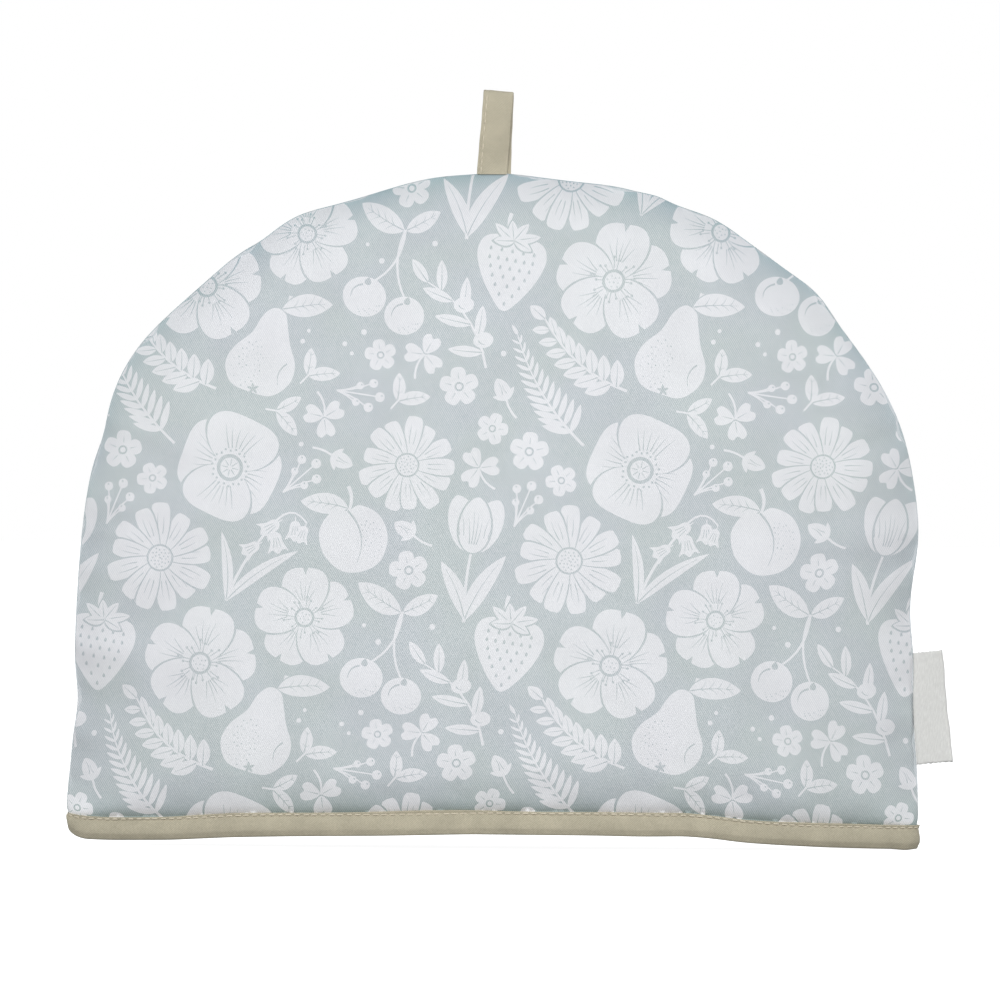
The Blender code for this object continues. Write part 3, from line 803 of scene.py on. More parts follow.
REPEAT = (172.0, 160.0)  # mm across and up
LAYOUT = (
    # motif, x, z, turn, size
    (wild_rose, 131.0, 120.0, -81, 0.98),
    (pear, 157.0, 92.0, -17, 1.0),
    (wild_rose, 3.0, 139.5, 145, 0.86),
    (bluebells, 158.5, 7.5, -26, 0.94),
    (marguerite, 113.5, 4.0, -170, 1.08),
    (plum, 23.0, 14.5, 16, 1.04),
    (eucalyptus, 117.5, 90.5, 58, 0.92),
    (strawberry, 88.0, 127.0, -9, 1.0),
    (cherries, 37.5, 120.5, -12, 0.94),
    (olive, 66.5, 102.5, 72, 0.98),
    (tulip, 72.5, 5.5, -7, 0.92),
    (marguerite, 45.5, 43.5, -63, 0.96),
    (fern, 104.5, 76.0, 24, 0.96),
    (poppy, 143.0, 42.0, 20, 0.92),
    (blossom, 46.5, 159.5, -132, 1.05),
    (trefoil, 52.5, 90.0, -29, 1.0),
    (berries, 93.5, 25.5, -23, 1.0),
    (leaf_pair, 41.5, 70.5, -41, 0.95),
    (bud, 48.5, 14.5, 59, 1.0),
    (blossom, 110.0, 37.5, 168, 0.85),
    (blossom, 96.5, 49.5, -5, 1.05),
    (trefoil, 75.5, 42.5, 30, 1.0),
    (berries, 171.5, 37.0, -49, 1.0),
    (leaf_pair, 162.5, 66.0, -99, 0.95),
    (bud, 14.0, 47.0, -114, 1.0),
    (blossom, 81.0, 59.0, -21, 0.85),
    (blossom, 67.0, 76.5, 5, 1.05),
    (trefoil, 10.5, 63.5, -172, 1.0),
    (berries, 23.5, 73.5, -99, 1.0),
    (leaf_pair, 3.5, 81.0, -45, 0.95),
    (bud, 87.0, 71.5, 27, 1.0),
    (blossom, 34.0, 89.5, 154, 0.85),
    (dot, 1.0, 95.5, 0, 0.85),
    (dot, 3.5, 100.0, 0, 0.7),
    (dot, 85.5, 90.5, 0, 1.0),
    (dot, 27.0, 99.0, 0, 1.0),
    (dot, 22.0, 90.0, 0, 0.7),
    (dot, 1.0, 52.0, 0, 0.85),
    (dot, 19.0, 94.0, 0, 0.85),
    (dot, 34.0, 129.5, 0, 1.0),
    (dot, 28.0, 136.5, 0, 0.7),
    (dot, 56.5, 136.0, 0, 1.0),
)
PRINT_START = {-1: (-255.0, -46.0), 1: (-193.0, -92.0)}  # side: where its repeats start, in mm
INK_LIMIT = 0.3  # mm that the ink's outline keeps in from the seam, inside the seam's roll


def repeated_print(side):
    """Every motif that touches a panel, as (ink, outline in mm), in the order of printing."""
    one_repeat = [(motif(), turn, (x, z), size) for motif, x, z, turn, size in LAYOUT]
    shapes = []
    for across in range(4):
        for up in range(3):
            start_x = PRINT_START[side][0] + REPEAT[0] * across
            start_z = PRINT_START[side][1] + REPEAT[1] * up
            for motif, turn, (x, z), size in one_repeat:
                at = (start_x + x, start_z + z)
                if abs(at[0]) < 205 and -30 < at[1] < 310:
                    shapes += moved(motif, turn, at, size)
    return shapes


def closely_stepped(outline, step=1.6):
    """The outline with points added, so that no side is longer than a step."""
    points = []
    for start, end in zip(outline, np.roll(outline, -1, axis=0)):
        parts = max(1, math.ceil(np.linalg.norm(end - start) / step))
        points += [start + (end - start) * k / parts for k in range(parts)]
    return np.array(points)


def cut_at_seam(shapes):
    """The shapes drawn in where they would cross the seam or the hem; those outside are left out."""
    low = HEM_LOW + INK_LIMIT
    stepped = [closely_stepped(outline) for _, outline in shapes]
    flat = np.vstack(stepped)
    nearest = np.array([seam_tree.find((x * MM, z * MM, 0.0))[1] for x, z in flat])
    seam, normal = SEAM[nearest] / MM, SEAM_NORMAL[nearest]
    inside = ((seam - flat) * normal).sum(axis=1)
    out = (inside < INK_LIMIT) | (flat[:, 1] < low)
    drawn = flat - normal * np.maximum(INK_LIMIT - inside, 0.0)[:, None]
    drawn[:, 1] = np.maximum(drawn[:, 1], low)
    kept = []
    start = 0
    for (ink, _), outline in zip(shapes, stepped):
        end = start + len(outline)
        if not out[start:end].all():
            kept.append((ink, drawn[start:end]))
        start = end
    return kept


def inked(centres, shapes):
    """Which of the points, in mm, the finished print leaves white."""
    white = np.zeros(len(centres), bool)
    order = centres[:, 0].argsort()
    sorted_x = centres[order, 0]
    for ink, outline in shapes:
        low, high = outline.min(axis=0), outline.max(axis=0)
        first, last = np.searchsorted(sorted_x, (low[0], high[0]))
        near = order[first:last]
        near = near[(centres[near, 1] > low[1]) & (centres[near, 1] < high[1])]
        x, z = centres[near].T[:, :, None]
        after = np.roll(outline, -1, axis=0)
        rise = after[:, 1] - outline[:, 1]
        crosses = (outline[:, 1] > z) != (after[:, 1] > z)
        run = after[:, 0] - outline[:, 0]
        at_x = outline[:, 0] + (z - outline[:, 1]) * run / np.where(rise, rise, 1.0)
        odd = (crosses & (x < at_x)).sum(axis=1) % 2 == 1
        white[near[odd]] = ink
    return white


def triangulated(outline, fill, shapes):
    """The pattern cut into triangles along every outline: points in mm and triangles. The outline's
    points come first, in their order, which is clockwise."""
    points = [outline, fill]
    edges = []
    count = len(outline) + len(fill)
    for _, shape in shapes:
        points.append(shape)
        edges += [(count + k, count + (k + 1) % len(shape)) for k in range(len(shape))]
        count += len(shape)
    found, _, triangles, origins, _, _ = delaunay_2d_cdt(
        [tuple(p) for p in np.vstack(points)], edges, [], 0, 1e-4
    )
    found = np.array([tuple(p) for p in found])
    triangles = np.array(triangles)
    place = np.full(len(found), -1)
    for vertex, origin in enumerate(origins):
        first = min(origin, default=count)
        if first < len(outline):
            place[vertex] = first
    rest = np.flatnonzero(place < 0)
    place[rest] = len(outline) + np.arange(len(rest))
    ordered = np.empty_like(found)
    ordered[place] = found
    triangles = place[triangles]
    corners = np.sort(triangles, axis=1)
    first = ordered[corners[:, 1]] - ordered[corners[:, 0]]
    second = ordered[corners[:, 2]] - ordered[corners[:, 1]]
    turn = first[:, 0] * second[:, 1] - first[:, 1] * second[:, 0]
    # Slivers that bridge a hollow of the outline lie outside it.
    outside = (corners[:, 2] < len(outline)) & (turn > 0.0)
    return ordered, triangles[~outside]


def add_mesh(name, points, faces, materials, kinds=None):
    """A smooth-shaded object of the given points and faces that stands for a piece of the cosy."""
    mesh = bpy.data.meshes.new(name)
    mesh.from_pydata([tuple(map(float, p)) for p in points], [], [tuple(map(int, f)) for f in faces])
    for material in materials:
        mesh.materials.append(material)
    if kinds is not None:
        mesh.polygons.foreach_set("material_index", np.asarray(kinds, dtype=np.int32))
    mesh.shade_smooth()
    piece = bpy.data.objects.new(name, mesh)
    bpy.context.scene.collection.objects.link(piece)
    return piece


def surface_normals(face, flat, side):
    """Outward normals of one of a panel's faces, from how it slopes at the points (x, z). The points
    are taken just inside the seam, where the slope can still be measured."""
    step = 0.03 * MM
    middle = np.stack([flat[:, 0] * (1 - 2e-4), np.minimum(flat[:, 1], 0.99985 * SEAM_HEIGHT)], axis=1)
    along_x = face(middle + (step, 0.0), side) - face(middle - (step, 0.0), side)
    along_z = face(middle + (0.0, step), side) - face(middle - (0.0, step), side)
    normal = np.cross(along_x, along_z)
    return normal / np.linalg.norm(normal, axis=1)[:, None] * -side


def painted_shading_shares(flat):
    """Shares, 0 to 1, of painted shading: where the shown cloth turns in to the binding
    (painted shade on the ground, painted light on the ink), and near the crown's seam (painted shade).
    """
    inside, _, _ = from_seam(flat)
    above = np.maximum(flat[:, 1] - BINDING_HEIGHT, 0.0)
    painted_shading_at_binding = 0.80 * np.exp(-above / (3.6 * MM)) + 0.20 * np.exp(-above / (15 * MM))
    painted_shade_at_crown = (flat[:, 1] / SEAM_HEIGHT) ** 2 * np.exp(-inside / (6 * MM))
    return {"painted_shading_at_binding": painted_shading_at_binding, "painted_shade_at_crown": painted_shade_at_crown}


def panel(name, side, materials):
    """A padded panel: its printed face, its plain inner face, and the raw lower edge."""
    seam, hem = pattern_outline()
    outline = np.vstack([seam, hem])
    shapes = cut_at_seam(repeated_print(side))
    flat, triangles = triangulated(outline, pattern_fill(SHOWN_PITCH, RIM_STEPS), shapes)
    white = inked(flat[triangles].mean(axis=1), shapes)
    under, inner_triangles = triangulated(outline, pattern_fill(HIDDEN_PITCH, HIDDEN_RIM_STEPS), [])
    outer = outer_face(flat * MM, side)
    inner = inner_face(under * MM, side)
    inner[: len(seam)] = outer[: len(seam)]
    points = np.vstack([outer, inner[len(seam) :]])
    shift = len(outer) - len(seam)
    inner_index = np.where(np.arange(len(under)) < len(seam), 0, shift) + np.arange(len(under))
    inner_triangles = inner_index[inner_triangles]
    lower = [len(seam) - 1, *range(len(seam), len(outline)), 0]
    edge = [
        tuple(dict.fromkeys((a, b, int(inner_index[b]), int(inner_index[a]))))
        for a, b in zip(lower, lower[1:])
    ]
    # The flat pattern's triangles run anticlockwise seen from the front, at -Y.
    if side < 0:
        faces = [*triangles.tolist(), *inner_triangles[:, ::-1].tolist(), *edge]
    else:
        faces = [*triangles[:, ::-1].tolist(), *inner_triangles.tolist(), *(f[::-1] for f in edge)]
    kinds = np.concatenate([white.astype(int), np.full(len(inner_triangles) + len(edge), 2)])
    piece = add_mesh(name, points, faces, materials, kinds)
    outward = surface_normals(outer_face, flat * MM, side)
    loop_vertex = np.empty(len(piece.data.loops), dtype=np.int64)
    piece.data.loops.foreach_get("vertex_index", loop_vertex)
    loop_normals = np.empty((len(loop_vertex), 3))
    piece.data.corner_normals.foreach_get("vector", loop_normals.ravel())
    shown = 3 * len(triangles)
    loop_normals[:shown] = outward[loop_vertex[:shown]]
    inward = -surface_normals(inner_face, under * MM, side)
    inner_loops = loop_vertex[shown : shown + 3 * len(inner_triangles)]
    pattern_vertex = np.where(inner_loops >= len(outer), inner_loops - shift, inner_loops)
    loop_normals[shown : shown + 3 * len(inner_triangles)] = inward[pattern_vertex]
    piece.data.normals_split_custom_set([tuple(n) for n in loop_normals.tolist()])
    # Masks for the painted shade and light that the panel's materials multiply in near the binding and
    # the crown's seam.
    for kind, share in painted_shading_shares(flat * MM).items():
        attribute = piece.data.attributes.new(kind, "FLOAT", "POINT")
        attribute.data.foreach_set("value", np.append(share, np.zeros(len(points) - len(flat))))
    return piece


def add_node(material, kind, inputs=None, **settings):
    """A shader node of the material, with its inputs set to values or linked to other sockets."""
    node = material.node_tree.nodes.new(kind)
    for key, value in settings.items():
        setattr(node, key, value)
    for key, value in (inputs or {}).items():
        if isinstance(value, bpy.types.NodeSocket):
            material.node_tree.links.new(value, node.inputs[key])
        else:
            node.inputs[key].default_value = value
    return node


def mixed(material, share, first, second):
    """Socket of the colour between two colours; each is a tuple or a socket."""
    node = add_node(material, "ShaderNodeMix", data_type="RGBA")
    for key, value in ((0, share), (6, first), (7, second)):
        if isinstance(value, bpy.types.NodeSocket):
            material.node_tree.links.new(value, node.inputs[key])
        else:
            node.inputs[key].default_value = (*value, 1.0) if isinstance(value, tuple) else value
    return node.outputs[2]


def multiplied(material, first, second):
    """Socket of the product of two colour sockets."""
    node = add_node(material, "ShaderNodeMix", data_type="RGBA", blend_type="MULTIPLY")
    node.inputs[0].default_value = 1.0
    material.node_tree.links.new(first, node.inputs[6])
    material.node_tree.links.new(second, node.inputs[7])
    return node.outputs[2]


def ranged(material, value, low, high, to_low=0.0, to_high=1.0):
    """Socket of the value mapped from low..high to another range, and kept inside it."""
    inputs = {0: value, 1: low, 2: high, 3: to_low, 4: to_high}
    return add_node(material, "ShaderNodeMapRange", inputs).outputs[0]


ONE_RIDGE = 0.3142  # the wave texture's scale at which it has one ridge to a unit


def threads(material, turn, across, along):
    """Sockets of a twill's ridges, 0 to 1, and of how even each thread is. turn is the rotation that
    brings the ridges upright, across is their pitch and along the length over which they vary."""
    place = add_node(material, "ShaderNodeTexCoord").outputs["Object"]
    laid = add_node(material, "ShaderNodeMapping", {"Vector": place}, vector_type="TEXTURE")
    laid.inputs["Rotation"].default_value = turn
    laid.inputs["Scale"].default_value = (across, 1.0, along)
    settings = dict(wave_type="BANDS", bands_direction="X", wave_profile="SIN")
    inputs = {"Vector": laid.outputs[0], "Scale": ONE_RIDGE}
    inputs.update({"Distortion": 1.3, "Detail": 1.5, "Detail Scale": 0.9})
    ridge = add_node(material, "ShaderNodeTexWave", inputs, **settings)
    inputs = {"Vector": laid.outputs[0], "Scale": 0.8, "Detail": 3.0, "Roughness": 0.6}
    slub = add_node(material, "ShaderNodeTexNoise", inputs)
    return ridge.outputs[1], slub.outputs[0]


def soft_noise(material, size, detail=2.0):
    """Socket of a cloudy 0 to 1 value whose patches are about that size, in metres."""
    place = add_node(material, "ShaderNodeTexCoord").outputs["Object"]
    inputs = {"Vector": place, "Scale": 1.0 / size, "Detail": detail}
    return add_node(material, "ShaderNodeTexNoise", inputs).outputs[0]


def maths(material, operation, *values):
    """Socket of a sum done on values or sockets."""
    return add_node(material, "ShaderNodeMath", dict(enumerate(values)), operation=operation).outputs[0]


def clouded(material, colour, size, detail, low, high):
    """Socket of the colour with cloudy patches, from low to high times as light."""
    cloudy = ranged(material, soft_noise(material, size, detail), 0.3, 0.7, low, high)
    shade = add_node(material, "ShaderNodeCombineColor", {0: cloudy, 1: cloudy, 2: cloudy})
    return multiplied(material, colour, shade.outputs[0])


def cloth_material(name, **finish):
    """A new material, with its shader's roughness, sheen and the like set."""
    material = bpy.data.materials.new(name)
    material.use_nodes = True
    shader = material.node_tree.nodes["Principled BSDF"]
    for key, value in finish.items():
        shader.inputs[key.replace("_", " ")].default_value = value
    return material


def dressed(material, colour, relief, strength, depth):
    """The material, once its shader has its colour and its relief."""
    shader = material.node_tree.nodes["Principled BSDF"]
    material.node_tree.links.new(colour, shader.inputs["Base Color"])
    inputs = {"Height": relief, "Strength": strength, "Distance": depth}
    bump = add_node(material, "ShaderNodeBump", inputs)
    material.node_tree.links.new(bump.outputs[0], shader.inputs["Normal"])
    return material


def cotton_twill(name, thread_colour, groove_colour, roughness, line_contrast, tints, tuck, crown):
    """The panels' cloth: fine steep ridges that run down to the right, over soft mottling. tuck and
    crown are painted light and shade: the colours it is multiplied by where it turns in to the binding
    and near the crown's seam, to darken or lighten it there as the light would."""
    material = cloth_material(
        name, Roughness=roughness, Sheen_Weight=0.03, Sheen_Roughness=0.5, Specular_IOR_Level=0.25
    )
    ridge, slub = threads(material, (0.0, math.radians(-30), 0.0), 0.75 * MM, 2.6 * MM)
    body = maths(material, "MULTIPLY", ridge, 0.50)
    spun = maths(material, "ADD", ranged(material, slub, 0.3, 0.7, 0.0, 0.12), body)
    grain = ranged(material, soft_noise(material, 0.45 * MM, 1.0), 0.3, 0.7, 0.0, 0.28)
    height = maths(material, "ADD", grain, spun)
    lit = ranged(material, height, 0.45 - line_contrast, 0.45 + line_contrast)
    cloth = mixed(material, lit, groove_colour, thread_colour)
    cloth = clouded(material, cloth, 24 * MM, 3.0, 0.965, 1.035)
    drift = ranged(material, soft_noise(material, 34 * MM, 2.0), 0.38, 0.62)
    toned = multiplied(material, cloth, mixed(material, drift, *tints))
    # Painted shade and light: the colour is multiplied by the tuck and crown tints where the cloth
    # turns in to the binding and near the crown's seam.
    for kind, colour in (("painted_shading_at_binding", tuck), ("painted_shade_at_crown", crown)):
        place = add_node(material, "ShaderNodeAttribute", attribute_name=kind).outputs["Fac"]
        toned = multiplied(material, toned, mixed(material, place, (1.0, 1.0, 1.0), colour))
    relief = maths(material, "MULTIPLY_ADD", soft_noise(material, 6 * MM, 4.0), 1.6, height)
    return dressed(material, toned, relief, 0.6, 0.10 * MM)


ground_cotton = cotton_twill(
    "ground_cotton",
    thread_colour=(0.645, 0.652, 0.656),
    groove_colour=(0.420, 0.470, 0.480),
    roughness=0.90,
    line_contrast=0.23,
    tints=((0.985, 1.003, 0.997), (0.990, 0.990, 1.018)),
    # Painted shade: the ground is darker and bluer where it turns in to the binding and near the
    # crown's seam.
    tuck=(0.78, 0.86, 0.83),
    crown=(0.69, 0.82, 0.855),
)
inked_cotton = cotton_twill(
    "inked_cotton",
    thread_colour=(0.822, 0.812, 0.822),
    groove_colour=(0.672, 0.680, 0.700),
    roughness=0.80,
    line_contrast=0.29,
    tints=((1.0, 1.0, 1.0), (1.0, 0.993, 1.003)),
    # Painted light: the ink is made lighter where it turns in to the binding, and painted shade darkens
    # it a little near the crown's seam.
    tuck=(1.20, 1.20, 1.19),
    crown=(0.92, 0.93, 0.935),
)
plain_cotton = cotton_twill(
    "plain_cotton",
    thread_colour=(0.63, 0.66, 0.67),
    groove_colour=(0.54, 0.58, 0.60),
    roughness=0.92,
    line_contrast=0.30,
    tints=((1.0, 1.0, 1.0), (1.0, 0.99, 1.005)),
    tuck=(1.0, 1.0, 1.0),
    crown=(1.0, 1.0, 1.0),
)

for panel_name, panel_side in (("front", -1), ("back", 1)):
    settled[panel_side] = settled_cloth(panel_side)
    piece = panel(f"padded_panel_{panel_name}", panel_side, [ground_cotton, inked_cotton, plain_cotton])
    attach(piece, "root")
    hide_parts(f"panel_{panel_name}")

# ---------------------------------------------------------------------------------------
# Hem binding. One strip of khaki twill cut on the bias, folded over the raw lower edge of
# both panels all the way round, and edge-stitched through all layers near its top.
# ---------------------------------------------------------------------------------------

BINDING_STATIONS = 640
STITCH_LINE = 8.9 * MM  # height of the edge-stitching
STITCH_PITCH = 3.7 * MM
STITCH_REACH = 1.35 * MM  # from a stitch's middle to its ends
STITCH_DEPTH = 0.30 * MM  # how far the thread lies in from the strip's shown face
BINDING_THREAD = 0.33 * MM  # the thread's radius


def outer_oval(turn, height, grow):
    """Plan (x, y) of an oval round the hem that lies grow outside the panels' shown faces."""
    half_width = SEAM_HALF_WIDTH + grow
    x = half_width * np.cos(turn)
    fill = wadding_fill(half_width - np.abs(x))
    bow = OPEN_HALF_DEPTH * (1.0 - (x / half_width) ** 2) * closing(height)
    return x, np.sign(np.sin(turn)) * (bow + (HALF_WALL_IN_BINDING + grow) * fill)


def inner_oval(turn, height, clear):
    """Plan (x, y) of the oval that lies clear inside the panels' inner faces."""
    depth = HALF_WALL_IN_BINDING + clear
    tip = SEAM_HALF_WIDTH * np.sqrt(1.0 - depth / OPEN_HALF_DEPTH / closing(height))
    x = tip * np.cos(turn)
    y = OPEN_HALF_DEPTH * closing(height) * (1.0 - (x / SEAM_HALF_WIDTH) ** 2) - depth
    return x, np.sign(np.sin(turn)) * np.maximum(y, 0.0)


def length_round(x, y):
    """Length along a closed path of points, from its first point."""
    return np.concatenate([[0.0], np.cumsum(np.hypot(np.diff(x), np.diff(y)))])


def leg_section():
    """One leg of the folded strip, from the fold up: (height, how far in from its shown face)."""
    rows = [(0.0, 1.0), (0.2, 0.72), (0.55, 0.48), (1.05, 0.26), (1.7, 0.06)]
    rows += [(h, 0.34 - 0.78 * math.sin(math.pi * (h + 1.0) / 9.9)) for h in np.linspace(2.4, 7.9, 9)]
    rows += [(8.25, 0.22), (8.5, 0.36), (8.75, 0.42), (9.0, 0.36), (9.25, 0.18), (9.5, 0.08)]
    rows += [(9.75, 0.12), (9.93, 0.32), (10.0, 0.6), (9.9, 0.95), (9.6, 1.2)]
    return [(h * MM, inset * MM) for h, inset in rows]


def ring_faces(rings, across, closed=False, turned_over=False, base=0):
    """Four-sided faces between rings of points, each ring a closed line of so many points across."""
    faces = []
    for ring in range(rings if closed else rings - 1):
        here = base + ring * across
        after = base + (ring + 1) % rings * across
        for k in range(across):
            n = (k + 1) % across
            if turned_over:
                faces.append((here + k, here + n, after + n, after + k))
            else:
                faces.append((here + k, after + k, after + n, here + n))
    return faces


def hem_binding():
    """The ring of folded cloth: the outer leg, the inner leg and the fold under the hem."""
    turn = 2 * math.pi * (np.arange(BINDING_STATIONS) + 0.5) / BINDING_STATIONS
    mid_x, mid_y = outer_oval(turn, 5 * MM, GAP + BINDING_CLOTH)
    along = length_round(mid_x, mid_y)
    up = leg_section()
    fold = (BINDING_CLOTH, BINDING_CLOTH)
    under = (0.0, 1.15 * MM)
    section = [(outer_oval, *place) for place in (*up, fold)]
    section += [(inner_oval, *place) for place in (fold, *reversed(up), under)]
    section.append((outer_oval, *under))
    top_wave = 0.22 * np.sin(along / 0.0141 + 0.6) + 0.18 * np.sin(along / 0.0377)
    tuck = np.cos(2 * math.pi * along / STITCH_PITCH)
    rings = []
    for oval, height, inset in section:
        shown = inset < 0.6 * BINDING_CLOTH
        lifted = height + top_wave * MM * smooth_step(height, 4 * MM, 9 * MM)
        near_stitch = math.exp(-(((height - STITCH_LINE) / (1.7 * MM)) ** 2)) * shown
        belly = math.sin(math.pi * min(max(height / (9 * MM), 0.0), 1.0)) * shown
        drag = 0.10 * np.sin(along / 0.0093 + height / 0.0021)
        drag = drag + 0.10 * np.sin(along / 0.0214 - height / 0.004)
        press = (0.10 * tuck * near_stitch - drag * belly) * MM
        x, y = oval(turn, lifted, GAP + BINDING_CLOTH - inset)
        outward = np.stack([np.gradient(y), -np.gradient(x)], axis=1)
        outward /= np.linalg.norm(outward, axis=1)[:, None]
        flip = 1.0 if oval is outer_oval else -1.0
        x = x - flip * outward[:, 0] * press
        y = y - flip * outward[:, 1] * press
        rings.append(stood(x, y, lifted))
    points = np.stack(rings, axis=1).reshape(-1, 3)
    return points, ring_faces(BINDING_STATIONS, len(section), closed=True)


def khaki_twill(name, turn, thread_colour, groove_colour):
    """Khaki twill: warm beige threads with darker grooves, slightly worn pale on the ridges."""
    material = cloth_material(name, Roughness=0.86, Sheen_Weight=0.04, Specular_IOR_Level=0.25)
    ridge, slub = threads(material, turn, 0.55 * MM, 1.3 * MM)
    spun = maths(material, "MULTIPLY_ADD", slub, 0.25, maths(material, "MULTIPLY", ridge, 0.45))
    height = maths(material, "MULTIPLY_ADD", soft_noise(material, 0.8 * MM, 2.0), 0.30, spun)
    lit = ranged(material, height, 0.28, 0.72)
    cloth = mixed(material, lit, groove_colour, thread_colour)
    cloth = clouded(material, cloth, 9 * MM, 4.0, 0.92, 1.08)
    return dressed(material, cloth, height, 0.7, 0.12 * MM)


binding_twill = khaki_twill(
    "binding_twill", (0.0, math.radians(-38), 0.0), (0.570, 0.515, 0.395), (0.325, 0.290, 0.210)
)
binding = add_mesh("bias_binding", *hem_binding(), [binding_twill])


def sewn(name, starts, ends, outwards, radius, material):
    """Stitches between pairs of points: short threads that dive into the cloth at both ends."""
    points, faces = [], []
    sides = 6
    shares = (0.0, 0.16, 0.5, 0.84, 1.0)
    heights = (-0.9, 0.35, 0.75, 0.35, -0.9)
    for start, end, outward in zip(starts, ends, outwards):
        run = end - start
        across = np.cross(run / np.linalg.norm(run), outward)
        base = len(points)
        for share, height in zip(shares, heights):
            middle = start + run * share + outward * height * radius
            size = radius * (0.75 if height < 0 else 1.0)
            for k in range(sides):
                a = 2 * math.pi * k / sides
                points.append(middle + size * (math.cos(a) * across + math.sin(a) * outward))
        faces += ring_faces(len(shares), sides, turned_over=True, base=base)
        faces.append(tuple(base + k for k in reversed(range(sides))))
        faces.append(tuple(base + (len(shares) - 1) * sides + k for k in range(sides)))
    return add_mesh(name, points, faces, [material])


def thread_material(name, colour):
    """Spun sewing thread, with the slight variation of its twist."""
    material = cloth_material(name, Roughness=0.6, Sheen_Weight=0.2)
    twist, _ = threads(material, (0.0, math.radians(20), 0.0), 0.24 * MM, 0.9 * MM)
    darker = tuple(0.8 * c for c in colour)
    return dressed(material, mixed(material, twist, darker, colour), twist, 0.5, 0.05 * MM)


binding_thread = thread_material("binding_thread", (0.72, 0.64, 0.50))


def hem_stitches():
    """Start, end and outward direction of each stitch of the binding, outside and inside."""
    turn = 2 * math.pi * (np.arange(6 * BINDING_STATIONS) + 0.5) / (6 * BINDING_STATIONS)
    starts, ends, outwards = [], [], []
    for oval, flip in ((outer_oval, 1.0), (inner_oval, -1.0)):
        x, y = oval(turn, STITCH_LINE, GAP + BINDING_CLOTH - STITCH_DEPTH)
        along = length_round(x, y)
        wave = 0.12 * np.sin(along / 0.023) + 0.08 * np.sin(along / 0.0081)
        z = STITCH_LINE + wave * MM
        path = stood(x, y, z)
        sideways = np.stack([np.gradient(y), -np.gradient(x), np.zeros(len(x))], axis=1)
        sideways *= flip / np.linalg.norm(sideways, axis=1)[:, None]
        count = int(along[-1] / STITCH_PITCH)
        for k in range(count):
            place = (k + 0.5 + 0.05 * math.sin(2.3 * k)) * STITCH_PITCH
            a, m, b = np.searchsorted(along, (place - STITCH_REACH, place, place + STITCH_REACH))
            if b < len(path):
                starts.append(path[a])
                ends.append(path[b])
                outwards.append(sideways[m])
    return starts, ends, outwards


stitches = sewn("binding_stitches", *hem_stitches(), BINDING_THREAD, binding_thread)
for piece in (binding, stitches):
    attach(piece, "root")
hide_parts("hem_binding")

# ---------------------------------------------------------------------------------------
# Hanging loop. A strip of the same khaki twill, folded lengthwise and edge-stitched, then
# bent in two and caught in the crown of the dome seam.
# ---------------------------------------------------------------------------------------

LOOP_X = -3.0 * MM
LOOP_HEIGHT = 35.2 * MM
LOOP_WIDTH = 12.6 * MM
LOOP_CLOTH = 1.2 * MM
LOOP_BOW = 3.6 * MM  # how far each leg bows out of the seam's plane
LOOP_LEAN = math.radians(4.3)
LOOP_SKEW = 0.45 * MM  # how far each edge of the fold is out of level, down to the right
LOOP_BACK_LEG_SHIFT = 1.7 * MM  # how far to the right the back leg ends of the front one
LOOP_STEPS = 120
LOOP_STITCH = -0.74  # where the edge-stitching runs across the strip, from -1 to 1
LOOP_STITCH_PITCH = 3.3 * MM
LOOP_STITCH_REACH = 1.25 * MM
LOOP_THREAD = 0.27 * MM


def loop_path():
    """The strip's middle (y, z) and outward direction, up the front leg and down the back leg."""
    turn = np.linspace(0.0, 2 * math.pi, LOOP_STEPS + 1)
    apart = (GAP + LOOP_CLOTH) / 2
    y = -LOOP_BOW * np.sin(turn) * np.abs(np.sin(turn / 2)) ** 1.5 - apart * np.cos(turn / 2)
    z = (LOOP_HEIGHT - LOOP_CLOTH / 2) * (1 - np.cos(turn)) / 2
    along = np.stack([np.gradient(y), np.gradient(z)], axis=1)
    along[0], along[-1] = (0.0, 1.0), (0.0, -1.0)
    along /= np.linalg.norm(along, axis=1)[:, None]
    return y, z, np.stack([-along[:, 1], along[:, 0]], axis=1)


def loop_point(step, across, out):
    """A point on the strip: across from -1 to 1, and out from its middle towards its shown face."""
    y, z, outward = loop_y[step], loop_z[step], loop_out[step]
    share = step / LOOP_STEPS
    y = y + outward[0] * out
    z = z + outward[1] * out
    x = LOOP_X + across * LOOP_WIDTH / 2 + math.tan(LOOP_LEAN) * z
    x = x + LOOP_BACK_LEG_SHIFT * smooth_step(share, 0.5, 1.0)
    z = z - LOOP_SKEW * across * z / LOOP_HEIGHT
    return (x + BODY_X, y, SEAM_HEIGHT + GAP + BODY_RISE + NIB + z)


loop_y, loop_z, loop_out = loop_path()
loop_length = length_round(loop_y, loop_z)
# Across the strip: (share of the half width, half thickness share). The right side is the
# fold; the left side holds the stitched edges.
LOOP_SECTION = (
    (-1.0, 0.35),
    (-0.985, 0.72),
    (-0.95, 0.94),
    (-0.86, 0.96),
    (-0.80, 0.90),
    (-0.74, 0.76),
    (-0.68, 0.90),
    (-0.58, 1.0),
    (-0.38, 1.0),
    (-0.15, 0.98),
    (0.15, 0.98),
    (0.45, 1.0),
    (0.75, 1.0),
    (0.92, 0.92),
    (0.98, 0.62),
    (1.0, 0.22),
)


